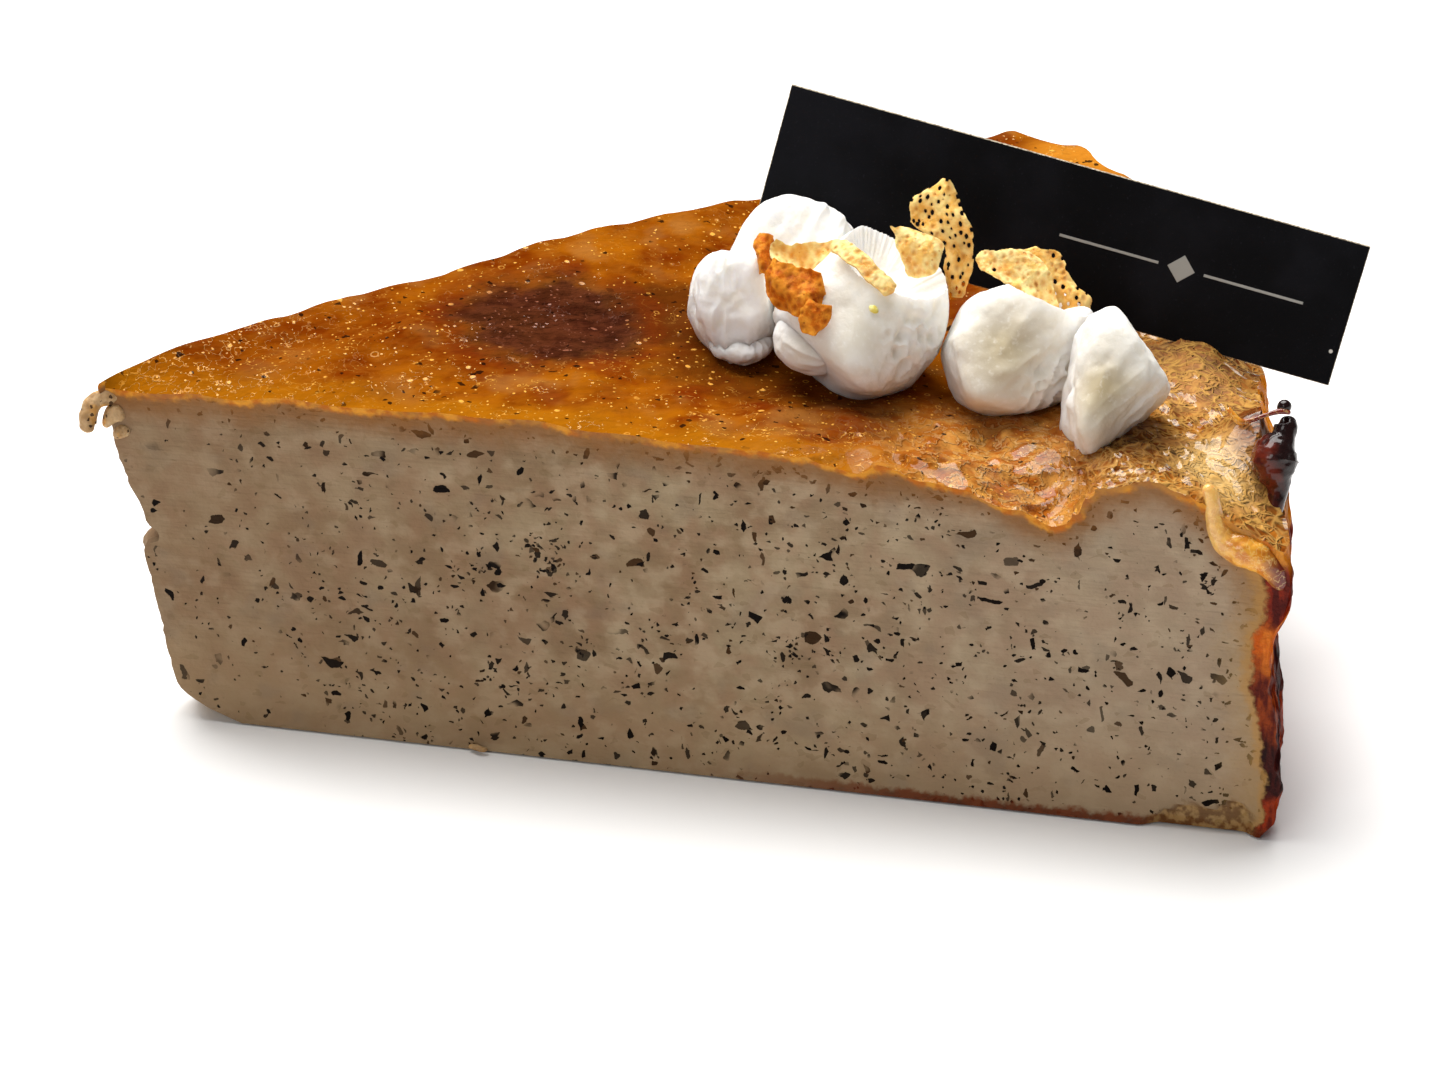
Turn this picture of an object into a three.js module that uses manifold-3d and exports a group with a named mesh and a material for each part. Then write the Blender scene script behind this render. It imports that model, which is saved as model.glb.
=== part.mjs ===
// One slice of a burnt cheesecake, with four spoonfuls of whipped cream, crisp lacy flakes and a small card.
// Millimetres, +Z up. The origin is on the base under the middle of the slice: the tip points to -X, the
// browned outer side is at +X, and the near cut face looks to -Y.
import * as THREE from 'three';
import { mergeVertices } from 'three/addons/utils/BufferGeometryUtils.js';
import Module from 'manifold-3d';

const wasm = await Module();
wasm.setup();

// The slice: a wedge of a round cake.
const cakeRadius = 110;
const tipX = -55;
const nearAngle = -22.5;
const farAngle = 24;
const tipHalfWidth = 0.4;
const baseOverrun = 1.5;

// The card and the room that pieces keep from each other.
const cardSize = { width: 57.3, height: 13.9, thickness: 0.5 };
const cardCentre = new THREE.Vector3(36.4, 0.6, 43.3);
const cardTurn = { yaw: -16, lean: -15, roll: 13.4 };
const gap = 0.3;
const flakeThickness = 0.6;

const radians = THREE.MathUtils.degToRad;
const lerp = THREE.MathUtils.lerp;
const smooth = (from, to, value) => THREE.MathUtils.smoothstep(value, from, to);
const bell = (distance, width) => Math.exp(-((distance / width) ** 2));

// A smooth curve through a few knots [place, value], flat beyond both ends.
function curve(knots, place) {
  const last = knots.length - 1;
  const x = Math.min(Math.max(place, knots[0][0]), knots[last][0]);
  let i = 0;
  while (i < last - 1 && x > knots[i + 1][0]) i += 1;
  const slope = (k) => {
    const a = knots[Math.max(k - 1, 0)];
    const b = knots[Math.min(k + 1, last)];
    return (b[1] - a[1]) / (b[0] - a[0]);
  };
  const span = knots[i + 1][0] - knots[i][0];
  const s = (x - knots[i][0]) / span;
  const start = knots[i][1] * (1 + 2 * s) * (1 - s) ** 2 + slope(i) * span * s * (1 - s) ** 2;
  const end = knots[i + 1][1] * (3 - 2 * s) * s ** 2 + slope(i + 1) * span * s ** 2 * (s - 1);
  return start + end;
}

// Heights of the top along the near and the far cut, by distance from the tip.
const nearTop = [[0, 34], [12, 34.3], [42, 34.9], [62, 34.1], [78, 32.9], [92, 32.4], [104, 32.9]];
const farTop = [
  [0, 34.5], [9, 36.4], [22, 37.3], [42, 37.9], [58, 38.1], [74, 37.1], [92, 37.3], [105, 38.4],
];

// Height of the rim where the top turns into the outer side, by angle.
const rimHeight = [
  [-22.5, 28.8], [-19.5, 29.6], [-17.2, 33.4], [-15, 36.6], [-12.6, 34], [-6, 31.2],
  [-2, 30.6], [3, 32.4], [9, 34.6], [15, 36.6], [20, 37.2], [24, 35.6],
];

// Folds that the paper lining pressed into the outer side, as angle and share of the depth, and the one
// that stands up burnt at the rim.
const folds = [
  [-21.6, 1.1], [-15.2, 1], [-9.6, 0.5], [-3.4, 1.2], [3.1, 0.9], [8.2, 1.4], [14.6, 1], [20.8, 1.3],
];
const foldWidth = 1.9;
const foldDepth = 1.2;
const burntLobe = { angle: -15, height: 32.5, rise: 4.6, reach: 0.5 };
const foldShare = 0.45;

// Bow of the outer side, by height: tucked in at mid height and rounded off at the base.
const sideBow = [[-1.5, -3], [0, -0.3], [3.5, 1.1], [10, 0.6], [19, -0.4], [24, 0.9], [28, 0.5], [37, -1.2]];

// How far the crumbled tip stands back, by height.
const tipSetback = [
  [-1.5, 11], [0, 7.6], [2, 5.2], [6.6, 3.7], [14, 2.4], [18, 1.7], [20.6, 2.4], [24, 0.6], [28, -0.4],
];
const tipCurl = { height: 31.8, reach: 4, width: 1.7 };

// A crease runs in from the near cut, and a swollen ridge beside it runs round behind the cream.
const crease = { radius: 89, depth: 3.1, width: 4.6, length: 6.5 };
const ridge = { radius: 97.5, height: 1.9, width: 5.2, length: 15 };
const sag = 1.6;

function unevenness(x, y) {
  const broad = Math.sin(0.21 * x + 0.9) * Math.sin(0.26 * y + 0.5);
  const fine = Math.sin(0.55 * x - 0.38 * y + 1.7) * Math.sin(0.47 * y + 0.31 * x);
  return 0.32 * broad + 0.22 * fine;
}

// Height of the top at a distance from the tip and an angle.
function topHeight(radius, angle) {
  const across = (angle - nearAngle) / (farAngle - nearAngle);
  const inward = radians(angle - nearAngle) * radius;
  let height = lerp(curve(nearTop, radius), curve(farTop, radius), across);
  height -= sag * Math.sin(Math.PI * across) * smooth(20, 80, radius);
  height -= crease.depth * bell(radius - crease.radius, crease.width) * bell(inward, crease.length);
  height += ridge.height * bell(radius - ridge.radius, ridge.width) * bell(inward, ridge.length);
  height += unevenness(radius * Math.cos(radians(angle)), radius * Math.sin(radians(angle)));
  const turn = lerp(8, 5, smooth(0.1, 0.5, across));
  const rim = smooth(cakeRadius - turn, cakeRadius, radius);
  return lerp(height, curve(rimHeight, angle), rim ** 1.4);
}

// Distance of the outer side from the tip at an angle and a height.
function sideRadius(angle, z) {
  const lift = lerp(foldShare, 1, smooth(14, 32, z));
  let pleat = 0;
  for (const [place, depth] of folds) pleat += depth * bell(angle - place - 0.03 * (z - 20), foldWidth);
  const lobe = bell(angle - burntLobe.angle, foldWidth) * bell(z - burntLobe.height, burntLobe.rise);
  return cakeRadius + curve(sideBow, z) + foldDepth * lift * (pleat - 0.6) + burntLobe.reach * lobe;
}

// A geometry with its shared corners merged, so that its faces close one body.
function closed(geometry) {
  geometry.deleteAttribute('normal');
  geometry.deleteAttribute('uv');
  return mergeVertices(geometry, 1e-4);
}

// The wedge is a box whose grid is bent: x runs from the tip to the rim, y from the near cut to the far
// cut and z from below the base to the top. A slab then cuts the base flat.
function sliceSolid() {
  const box = closed(new THREE.BoxGeometry(1, 1, 1, 34, 30, 10));
  const place = box.attributes.position;
  for (let i = 0; i < place.count; i += 1) {
    const along = place.getX(i) + 0.5;
    const angle = lerp(nearAngle, farAngle, place.getY(i) + 0.5);
    const up = place.getZ(i) + 0.5;
    const spread = along * lerp(1.25, 1, along);
    const nominal = lerp(tipHalfWidth, cakeRadius, spread);
    const z = lerp(-baseOverrun, topHeight(nominal, angle), up);
    const tip = tipHalfWidth / Math.sin(radians(farAngle)) + curve(tipSetback, z);
    const radius = lerp(tip, sideRadius(angle, z), spread);
    const curl = tipCurl.reach * bell(z - tipCurl.height, tipCurl.width) * (1 - along) ** 18;
    const x = tipX + radius * Math.cos(radians(angle)) - curl;
    place.setXYZ(i, x, radius * Math.sin(radians(angle)), z);
  }
  const slab = closed(new THREE.BoxGeometry(200, 200, 20)).translate(0, 0, -10);
  return toSolid(box).subtract(toSolid(slab));
}

function toSolid(geometry) {
  return new wasm.Manifold(new wasm.Mesh({
    numProp: 3,
    vertProperties: new Float32Array(geometry.attributes.position.array),
    triVerts: new Uint32Array(geometry.index.array),
  }));
}

function toGeometry(solid) {
  const mesh = solid.getMesh();
  const geometry = new THREE.BufferGeometry();
  geometry.setAttribute('position', new THREE.BufferAttribute(new Float32Array(mesh.vertProperties), 3));
  geometry.setIndex(new THREE.BufferAttribute(new Uint32Array(mesh.triVerts), 1));
  return geometry;
}

// A cut can leave a loose scrap: only the largest body is kept.
function largest(solid) {
  return solid.decompose().sort((a, b) => b.volume() - a.volume())[0];
}

// A direction from its angle round Z and its rise above level.
function direction(angle, rise) {
  const level = Math.cos(radians(rise));
  return new THREE.Vector3(
    level * Math.cos(radians(angle)), level * Math.sin(radians(angle)), Math.sin(radians(rise)));
}

// A lobe of cream: an ellipsoid whose reach grows at bumps and shrinks inside a hollow with a raised lip.
// A bump is [angle, rise, share of the reach, spread]; a hollow is { toward, spread, depth, lip }.
// Angles and spreads are in degrees.
function creamLobe({ centre, size, bumps, hollow }, grow = 0) {
  const sphere = closed(new THREE.SphereGeometry(1, 28, 16)).rotateX(Math.PI / 2);
  const place = sphere.attributes.position;
  const toward = new THREE.Vector3();
  for (let i = 0; i < place.count; i += 1) {
    toward.fromBufferAttribute(place, i).normalize();
    let share = 1;
    for (const [angle, rise, height, spread] of bumps) {
      share += height * bell(toward.angleTo(direction(angle, rise)), radians(spread));
    }
    if (hollow) {
      const edge = toward.angleTo(direction(...hollow.toward)) / radians(hollow.spread);
      share -= hollow.depth * (1 - smooth(0.35, 1, edge));
      share += hollow.lip * bell(edge - 1.08, 0.22);
    }
    const reach = share / Math.hypot(toward.x / size[0], toward.y / size[1], toward.z / size[2]) + grow;
    place.setXYZ(i, centre[0] + toward.x * reach, centre[1] + toward.y * reach, centre[2] + toward.z * reach);
  }
  return toSolid(sphere);
}

// The spoonfuls from the tip side to the rim: each is one lobe or two that run together.
const creams = [
  [
    {
      centre: [4.3, -1.2, 39.4], size: [3.7, 4.2, 5],
      bumps: [[-165, 40, 0.2, 24], [30, 45, 0.3, 34], [-70, -50, 0.14, 30]],
    },
    {
      centre: [11.1, 3, 42.1], size: [5.9, 5.6, 5.6],
      bumps: [[170, 25, 0.08, 26], [90, -30, 0.2, 45], [-90, -60, 0.25, 40]],
      hollow: { toward: [-62, 14], spread: 32, depth: 0.2, lip: 0.05 },
    },
  ],
  [
    {
      centre: [15.2, -8.9, 40.1], size: [8.1, 6.8, 7.4],
      bumps: [
        [-176, 62, 0.16, 22], [-8, 33, 0.16, 20], [-157, -48, -0.17, 26], [80, 58, 0.12, 30],
        [-160, 24, -0.14, 22],
      ],
      hollow: { toward: [-25, 66], spread: 40, depth: 0.34, lip: 0.08 },
    },
  ],
  [
    {
      centre: [28.4, -14.1, 38.6], size: [6.8, 6.2, 6.8],
      bumps: [[-172, 60, 0.2, 24], [-8, 26, 0.14, 20], [-140, -30, 0.08, 24]],
      hollow: { toward: [10, 66], spread: 46, depth: 0.36, lip: 0.08 },
    },
  ],
  [
    {
      centre: [35.3, -23.2, 38], size: [5.2, 5.4, 6.8],
      bumps: [[130, 80, 0.22, 24], [-12, 26, 0.1, 24], [-130, -34, 0.3, 26], [-43, -48, -0.24, 26]],
    },
  ],
];

function creamMass(lobes, grow) {
  return lobes.map((lobe) => creamLobe(lobe, grow)).reduce((sum, lobe) => sum.add(lobe));
}

// A crisp flake: a thin wavy sheet, with both faces split alike and a closed edge all round.
// Its left and right edges are curves [share of the half height, place], its ends are straight,
// and it bends across and along. It is turned by lean, roll and yaw.
function flakeSheet({ centre, turn, height, left, right, bend, wave }) {
  const columns = 5;
  const rows = 8;
  const pose = new THREE.Matrix4().makeRotationFromEuler(
    new THREE.Euler(radians(turn[0]), radians(turn[1]), radians(turn[2]), 'ZXY'));
  pose.setPosition(...centre);
  const points = [];
  for (const face of [0.5, -0.5]) {
    for (let j = 0; j <= rows; j += 1) {
      for (let i = 0; i <= columns; i += 1) {
        const a = (2 * i) / columns - 1;
        const b = (2 * j) / rows - 1;
        const across = lerp(curve(left, b), curve(right, b), (a + 1) / 2);
        const depth = bend[0] * a * a + bend[1] * b * b + 0.2 * Math.sin(3.2 * a + 2.6 * b + wave);
        const up = 0.5 * height * b * (1 + 0.08 * Math.sin(4.3 * a + wave));
        points.push(new THREE.Vector3(across, depth - face * flakeThickness, up).applyMatrix4(pose));
      }
    }
  }
  const count = (columns + 1) * (rows + 1);
  const at = (i, j) => j * (columns + 1) + i;
  const triangles = [];
  for (let j = 0; j < rows; j += 1) {
    for (let i = 0; i < columns; i += 1) {
      const [p, q, r, s] = [at(i, j), at(i + 1, j), at(i + 1, j + 1), at(i, j + 1)];
      triangles.push(p, q, r, p, r, s);
      triangles.push(p + count, r + count, q + count, p + count, s + count, r + count);
    }
  }
  const edge = [];
  for (let i = 0; i < columns; i += 1) edge.push(at(i, 0));
  for (let j = 0; j < rows; j += 1) edge.push(at(columns, j));
  for (let i = columns; i > 0; i -= 1) edge.push(at(i, rows));
  for (let j = rows; j > 0; j -= 1) edge.push(at(0, j));
  edge.forEach((p, k) => {
    const q = edge[(k + 1) % edge.length];
    triangles.push(p, p + count, q + count, p, q + count, q);
  });
  const geometry = new THREE.BufferGeometry().setFromPoints(points);
  geometry.setIndex(triangles);
  return toSolid(geometry);
}

// The flakes, from the tip side to the rim: a curl, a cup, a crumpled one and a low one between the first
// spoonfuls, a tall one, a ribbon and a small one on the second, a band and a fold on the third.
const flakes = [
  {
    centre: [6.3, -2.5, 44.8], turn: [-20, 35, -20], height: 2.2, bend: [1.2, 0.3], wave: 0.4,
    left: [[-1, -2.4], [1, -2]], right: [[-1, 2], [1, 2.4]],
  },
  {
    centre: [9.4, -4, 43.9], turn: [-50, 6, -12], height: 3.6, bend: [0.9, 0.7], wave: 1.9,
    left: [[-1, -1.6], [0, -2.2], [1, -1.4]], right: [[-1, 1.8], [0, 2.6], [1, 2]],
  },
  {
    centre: [8.4, -11.4, 44], turn: [-26, 16, -50], height: 4.2, bend: [0.3, 0.3], wave: 5.2,
    left: [[-1, -1], [0, -2.6], [1, -2.2]], right: [[-1, 1], [0, 2.4], [1, 2.6]],
  },
  {
    centre: [9, -13.9, 42.3], turn: [-16, 8, -50], height: 3.4, bend: [0.2, 0.1], wave: 3.1,
    left: [[-1, -0.8], [0, -1.7], [1, -1.2]], right: [[-1, 0.6], [0, 1.5], [1, 1.7]],
  },
  {
    centre: [23.4, -6, 46.2], turn: [-18, 2, -16], height: 11.4, bend: [0.4, 0.9], wave: 0.9,
    left: [[-1, 0.2], [-0.5, -0.8], [0, -0.6], [0.4, -2.9], [0.75, -3.5], [1, -1.6]],
    right: [[-1, 2.4], [-0.5, 3.1], [0, 3.2], [0.4, 2.6], [0.75, 1.2], [1, 0.4]],
  },
  {
    centre: [15.2, -11.4, 47.2], turn: [-60, 42, -12], height: 1.5, bend: [0.5, 0], wave: 2.2,
    left: [[-1, -4], [1, -3.6]], right: [[-1, 3.8], [1, 4]],
  },
  {
    centre: [20.5, -7.5, 46.3], turn: [-30, 4, -14], height: 4.4, bend: [0.4, 0.4], wave: 4,
    left: [[-1, -0.8], [0, -1.8], [1, -2.6]], right: [[-1, 1.4], [0, 2.3], [1, 0.9]],
  },
  {
    centre: [28.6, -11.3, 44.3], turn: [-46, 38, -14], height: 4.4, bend: [0.5, 0.4], wave: 1.2,
    left: [[-1, -3.6], [1, -4.2]], right: [[-1, 4.4], [1, 3.8]],
  },
  {
    centre: [33.4, -11, 42.9], turn: [-30, 8, -14], height: 7, bend: [0.6, 0.4], wave: 5,
    left: [[-1, 0.8], [-0.4, -1.1], [0.2, -2.6], [1, -2.3]],
    right: [[-1, 2.6], [-0.4, 3], [0.2, 2.1], [1, -0.5]],
  },
];

const crust = new THREE.MeshStandardMaterial({ color: '#b0763a', roughness: 0.55, metalness: 0 });
const whippedCream = new THREE.MeshStandardMaterial({ color: '#f3efe6', roughness: 0.5, metalness: 0 });
const crisp = new THREE.MeshStandardMaterial({ color: '#e5b46c', roughness: 0.6, metalness: 0 });
const blackCard = new THREE.MeshStandardMaterial({ color: '#141416', roughness: 0.4, metalness: 0 });

const group = new THREE.Group();

// Each piece's mesh is modelled about its own centre and placed by its position.
function addPiece(name, geometry, centre, material) {
  geometry.translate(-centre.x, -centre.y, -centre.z);
  geometry.computeVertexNormals();
  const mesh = new THREE.Mesh(geometry, material);
  mesh.name = name;
  mesh.position.copy(centre);
  group.add(mesh);
}

const card = new THREE.Mesh(
  new THREE.BoxGeometry(cardSize.width, cardSize.thickness, cardSize.height), blackCard);
card.name = 'card';
card.position.copy(cardCentre);
card.rotation.set(radians(cardTurn.lean), radians(cardTurn.roll), radians(cardTurn.yaw), 'ZXY');
card.updateMatrix();
group.add(card);

// The card's lower edge presses a little into the rim, so its room is cut from the slice.
const cardRoom = closed(new THREE.BoxGeometry(
  cardSize.width + 2 * gap, cardSize.thickness + 2 * gap, cardSize.height + 2 * gap));
cardRoom.applyMatrix4(card.matrix);
const slice = sliceSolid().subtract(toSolid(cardRoom));
addPiece('slice', toGeometry(slice), new THREE.Vector3(), crust);

// Each spoonful and flake is cut to the room that the pieces before it leave.
let taken = slice.add(slice.translate([0, 0, gap])).add(toSolid(cardRoom));
creams.forEach((lobes, k) => {
  const cream = largest(creamMass(lobes).subtract(taken));
  taken = taken.add(creamMass(lobes, gap));
  addPiece(`cream_${k + 1}`, toGeometry(cream), new THREE.Vector3(...lobes[0].centre), whippedCream);
});

flakes.forEach((flake, k) => {
  const sheet = largest(flakeSheet(flake).subtract(taken));
  taken = taken.add(sheet);
  addPiece(`flake_${k + 1}`, toGeometry(sheet), new THREE.Vector3(...flake.centre), crisp);
});

export default group;
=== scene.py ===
import math

import bpy
import numpy as np
from mathutils import Matrix, Vector


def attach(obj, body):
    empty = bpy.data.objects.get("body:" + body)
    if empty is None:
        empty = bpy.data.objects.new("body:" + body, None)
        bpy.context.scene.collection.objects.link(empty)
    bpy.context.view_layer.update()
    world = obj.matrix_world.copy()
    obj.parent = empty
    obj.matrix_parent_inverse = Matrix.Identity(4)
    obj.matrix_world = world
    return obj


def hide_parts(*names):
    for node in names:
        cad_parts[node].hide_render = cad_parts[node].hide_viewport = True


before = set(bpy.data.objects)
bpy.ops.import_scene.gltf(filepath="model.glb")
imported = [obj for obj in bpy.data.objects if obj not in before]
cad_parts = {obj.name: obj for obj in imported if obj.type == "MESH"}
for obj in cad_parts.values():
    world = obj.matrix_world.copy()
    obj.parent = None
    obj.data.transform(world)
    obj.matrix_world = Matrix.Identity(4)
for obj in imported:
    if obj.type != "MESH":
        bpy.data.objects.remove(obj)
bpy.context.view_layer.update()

# The studio: a white floor, a broad soft light above and behind the slice, and a weaker one in front.
# The camera has a long lens and looks down a little on the near cut, from the left of its middle.
scene = bpy.context.scene
scene.view_settings.view_transform = "Standard"

FLOOR_HALF_WIDTH = 3.0
bpy.ops.mesh.primitive_plane_add(size=2 * FLOOR_HALF_WIDTH, location=(0, 0, -0.0002))
floor = bpy.context.object
floor.name = "floor"
floor_finish = bpy.data.materials.new("white floor")
floor_finish.use_nodes = True
floor_shader = floor_finish.node_tree.nodes["Principled BSDF"]
floor_shader.inputs["Base Color"].default_value = (0.9, 0.9, 0.9, 1)
floor_shader.inputs["Roughness"].default_value = 0.9
floor_shader.inputs["Specular IOR Level"].default_value = 0.1
floor.data.materials.append(floor_finish)

world = bpy.data.worlds.new("soft white room")
world.use_nodes = True
world.node_tree.nodes["Background"].inputs["Color"].default_value = (0.97, 0.985, 1, 1)
world.node_tree.nodes["Background"].inputs["Strength"].default_value = 0.14
scene.world = world


def add_soft_light(name, place, toward, width, watts, tint):
    """A square area light at a place in metres, turned so that it shines at a point."""
    lamp = bpy.data.lights.new(name, "AREA")
    lamp.size = width
    lamp.energy = watts
    lamp.color = tint
    holder = bpy.data.objects.new(name, lamp)
    holder.location = place
    holder.rotation_euler = (Vector(toward) - Vector(place)).to_track_quat("-Z", "Y").to_euler()
    scene.collection.objects.link(holder)


add_soft_light("light above", (-0.1, 0.34, 0.9), (0, 0, 0.02), 0.9, 21.0, (1, 0.985, 0.96))
add_soft_light("light in front", (-0.5, -0.6, 0.5), (0, 0, 0.02), 0.35, 1.5, (1, 0.99, 0.97))

CAMERA_AZIMUTH = math.radians(-9.5)
CAMERA_ELEVATION = math.radians(26)
CAMERA_DISTANCE = 0.4
CAMERA_TARGET = Vector((0.0021, -0.0068, 0.017))
toward_camera = Vector((
    math.sin(CAMERA_AZIMUTH) * math.cos(CAMERA_ELEVATION),
    -math.cos(CAMERA_AZIMUTH) * math.cos(CAMERA_ELEVATION),
    math.sin(CAMERA_ELEVATION),
))
camera = bpy.data.objects.new("camera", bpy.data.cameras.new("camera"))
camera.data.lens = 104.35
camera.data.sensor_width = 36
camera.data.clip_start = 0.01
camera.location = CAMERA_TARGET + CAMERA_DISTANCE * toward_camera
camera.rotation_euler = toward_camera.to_track_quat("Z", "Y").to_euler()
scene.collection.objects.link(camera)
scene.camera = camera

# The slice: about an eighth of a round cheesecake, baked as one mass of custard with tea leaf in it and
# cut with two strokes of a knife. Its top is a dark caramelised skin that swelled, sank and wrinkled,
# and its outer side took the folds of the paper that lined the tin. Lengths are in millimetres, angles in
# degrees about the cake's axis, and a profile is a list of a place and its value.
MILLIMETRE = 0.001
TIP_X = -55.0
CAKE_RADIUS = 110.0
NEAR_ANGLE = -22.5
FAR_ANGLE = 24.0
TIP_HALF_WIDTH = 0.4
NEAR_TOP = [(0, 34), (12, 34.3), (42, 34.9), (62, 34.1), (78, 32.9), (92, 32.4), (104, 32.9)]
FAR_TOP = [
    (0, 34.5), (9, 36.4), (22, 37.3), (42, 37.9), (58, 38.1), (74, 37.1), (92, 37.3), (105, 38.4),
]
RIM_HEIGHT = [
    (-22.5, 28.8), (-19.5, 29.6), (-17.2, 33.4), (-15, 36.6), (-12.6, 34), (-6, 31.2),
    (-2, 30.6), (3, 32.4), (9, 34.6), (15, 36.6), (20, 37.2), (24, 35.6),
]
FOLDS = [
    (-21.6, 1.1), (-15.2, 0.6), (-9.6, 0.2), (-3.4, 1.2), (3.1, 0.9), (8.2, 1.4), (14.6, 1), (20.8, 1.3),
]
FOLD_WIDTH = 1.9
FOLD_DEPTH = 1.2
SIDE_BOW = [(-1.5, -3), (0, -0.5), (3.5, 0.9), (10, 0.4), (19, -0.6), (24, 0.7), (28, 0.3), (37, -1.2)]
TORN_LIP = [(97.5, 0), (99, 0.8), (101, 1.7), (103.2, 2.7), (105.3, 2.3), (107, 3.5), (109, 2.5)]
TIP_SETBACK = [
    (-1.5, 13), (0, 10.6), (1.2, 7.4), (2.4, 5.4), (3.6, 4.4), (6.6, 3.7), (14, 2.4), (17.2, 1.8),
    (18.4, 2.1), (18.8, 3.6), (20.5, 2.6), (24, 0.9), (28, -0.2), (31.5, -0.7), (34, -1.6),
]
CREASE_RADIUS, CREASE_DEPTH, CREASE_WIDTH, CREASE_LENGTH = 89, 3.1, 4.6, 6.5
RIDGE_RADIUS, RIDGE_HEIGHT, RIDGE_WIDTH, RIDGE_LENGTH = 97.5, 1.9, 5.2, 15
SAG = 1.6
NEAR_LEAN, FAR_LEAN = 1.7, 1.4
HOLLOW_DEPTH = 0.9


def mix(start, end, share):
    """The value that lies a share of the way from start to end."""
    return start + (end - start) * share


def smooth(start, end, value):
    """A smoothstep: 0 at start, 1 at end, level at both."""
    share = np.clip((value - start) / (end - start), 0, 1)
    return share * share * (3 - 2 * share)


def bell(distance, width):
    """e to the power of minus the square of distance over width."""
    return np.exp(-np.square(distance / width))


def curve(knots, place):
    """A cubic through knots (place, value) with the slope between their neighbours, flat past the ends."""
    x, y = np.array(knots, float).T
    last = len(x) - 1
    before = np.maximum(np.arange(last + 1) - 1, 0)
    after = np.minimum(np.arange(last + 1) + 1, last)
    slope = (y[after] - y[before]) / (x[after] - x[before])
    inside = np.clip(place, x[0], x[last])
    i = np.clip(np.searchsorted(x, inside, side="right") - 1, 0, last - 1)
    span = x[i + 1] - x[i]
    s = (inside - x[i]) / span
    start = y[i] * (1 + 2 * s) * (1 - s) ** 2 + slope[i] * span * s * (1 - s) ** 2
    end = y[i + 1] * (3 - 2 * s) * s**2 + slope[i + 1] * span * s**2 * (s - 1)
    return start + end


def grain(x, y, z, seed):
    """Value noise from -1 to 1: random numbers at whole coordinates, blended between them by smoothsteps."""
    table = np.random.default_rng(seed).uniform(-1, 1, (64, 64, 64))
    x, y, z = np.broadcast_arrays(x, y, z)
    corner = [np.floor(c).astype(int) for c in (x, y, z)]
    share = [smooth(0, 1, c - whole) for c, whole in zip((x, y, z), corner)]
    total = np.zeros(x.shape)
    for step in np.ndindex(2, 2, 2):
        weight = np.ones(x.shape)
        for s, d in zip(share, step):
            weight = weight * (s if d else 1 - s)
        total += weight * table[tuple((c + d) % 64 for c, d in zip(corner, step))]
    return total


def level_place(radius, angle):
    """X and Y, from the cake's axis, at a radius and an angle."""
    return radius * np.cos(np.radians(angle)), radius * np.sin(np.radians(angle))


def top_height(radius, angle):
    """The height between the near and far cuts' profiles, less a sag between them, with a crease that runs
    in from the near cut, a swollen ridge beside it, two crossed sine waves, and a roll down to the rim."""
    across = (angle - NEAR_ANGLE) / (FAR_ANGLE - NEAR_ANGLE)
    inward = np.radians(angle - NEAR_ANGLE) * radius
    height = mix(curve(NEAR_TOP, radius), curve(FAR_TOP, radius), across)
    height = height - SAG * np.sin(np.pi * across) * smooth(20, 80, radius)
    height -= CREASE_DEPTH * bell(radius - CREASE_RADIUS, CREASE_WIDTH) * bell(inward, CREASE_LENGTH)
    height += RIDGE_HEIGHT * bell(radius - RIDGE_RADIUS, RIDGE_WIDTH) * bell(inward, RIDGE_LENGTH)
    x, y = level_place(radius, angle)
    height += 0.32 * np.sin(0.21 * x + 0.9) * np.sin(0.26 * y + 0.5)
    height += 0.22 * np.sin(0.55 * x - 0.38 * y + 1.7) * np.sin(0.47 * y + 0.31 * x)
    turn = mix(8, 5, smooth(0.1, 0.5, across))
    rim = smooth(CAKE_RADIUS - turn, CAKE_RADIUS, radius)
    return mix(height, curve(RIM_HEIGHT, angle), rim**1.4)


def side_radius(angle, z):
    """The cake's radius with the side's bow, plus a bell for each paper fold that deepens with height. The
    rim leans in by the near cut and out by the far one."""
    lift = mix(0.45, 1, smooth(14, 32, z))
    pleat = sum(depth * bell(angle - place - 0.03 * (z - 20), FOLD_WIDTH) for place, depth in FOLDS)
    rim_lean = smooth(29, 36, z) * (FAR_LEAN * smooth(11, 15, angle) - NEAR_LEAN * smooth(4, -7, angle))
    return CAKE_RADIUS + curve(SIDE_BOW, z) + FOLD_DEPTH * lift * (pleat - 0.6) + rim_lean


def bubbly_share(radius, angle):
    """1 on the swollen bubbly skin between the crease and the rim, 0 elsewhere."""
    return smooth(87, 93, radius + 0.25 * (angle - NEAR_ANGLE)) * smooth(9, -4, angle)


def wrinkled_share(radius, angle):
    """1 on the wet folded skin before the crease, below the spoonfuls, 0 elsewhere."""
    return bell(radius - 79, 11) * smooth(-8, -15, angle)


BUBBLE_COUNT = 340
bubble_chance = np.random.default_rng(11)
bubble_radius = bubble_chance.uniform(86, 110, BUBBLE_COUNT)
bubble_angle = NEAR_ANGLE + 26 * bubble_chance.uniform(0, 1, BUBBLE_COUNT) ** 1.2
bubble_size = 0.32 + 0.75 * bubble_chance.uniform(0, 1, BUBBLE_COUNT) ** 3
bubble_x, bubble_y = level_place(bubble_radius, bubble_angle)


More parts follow.
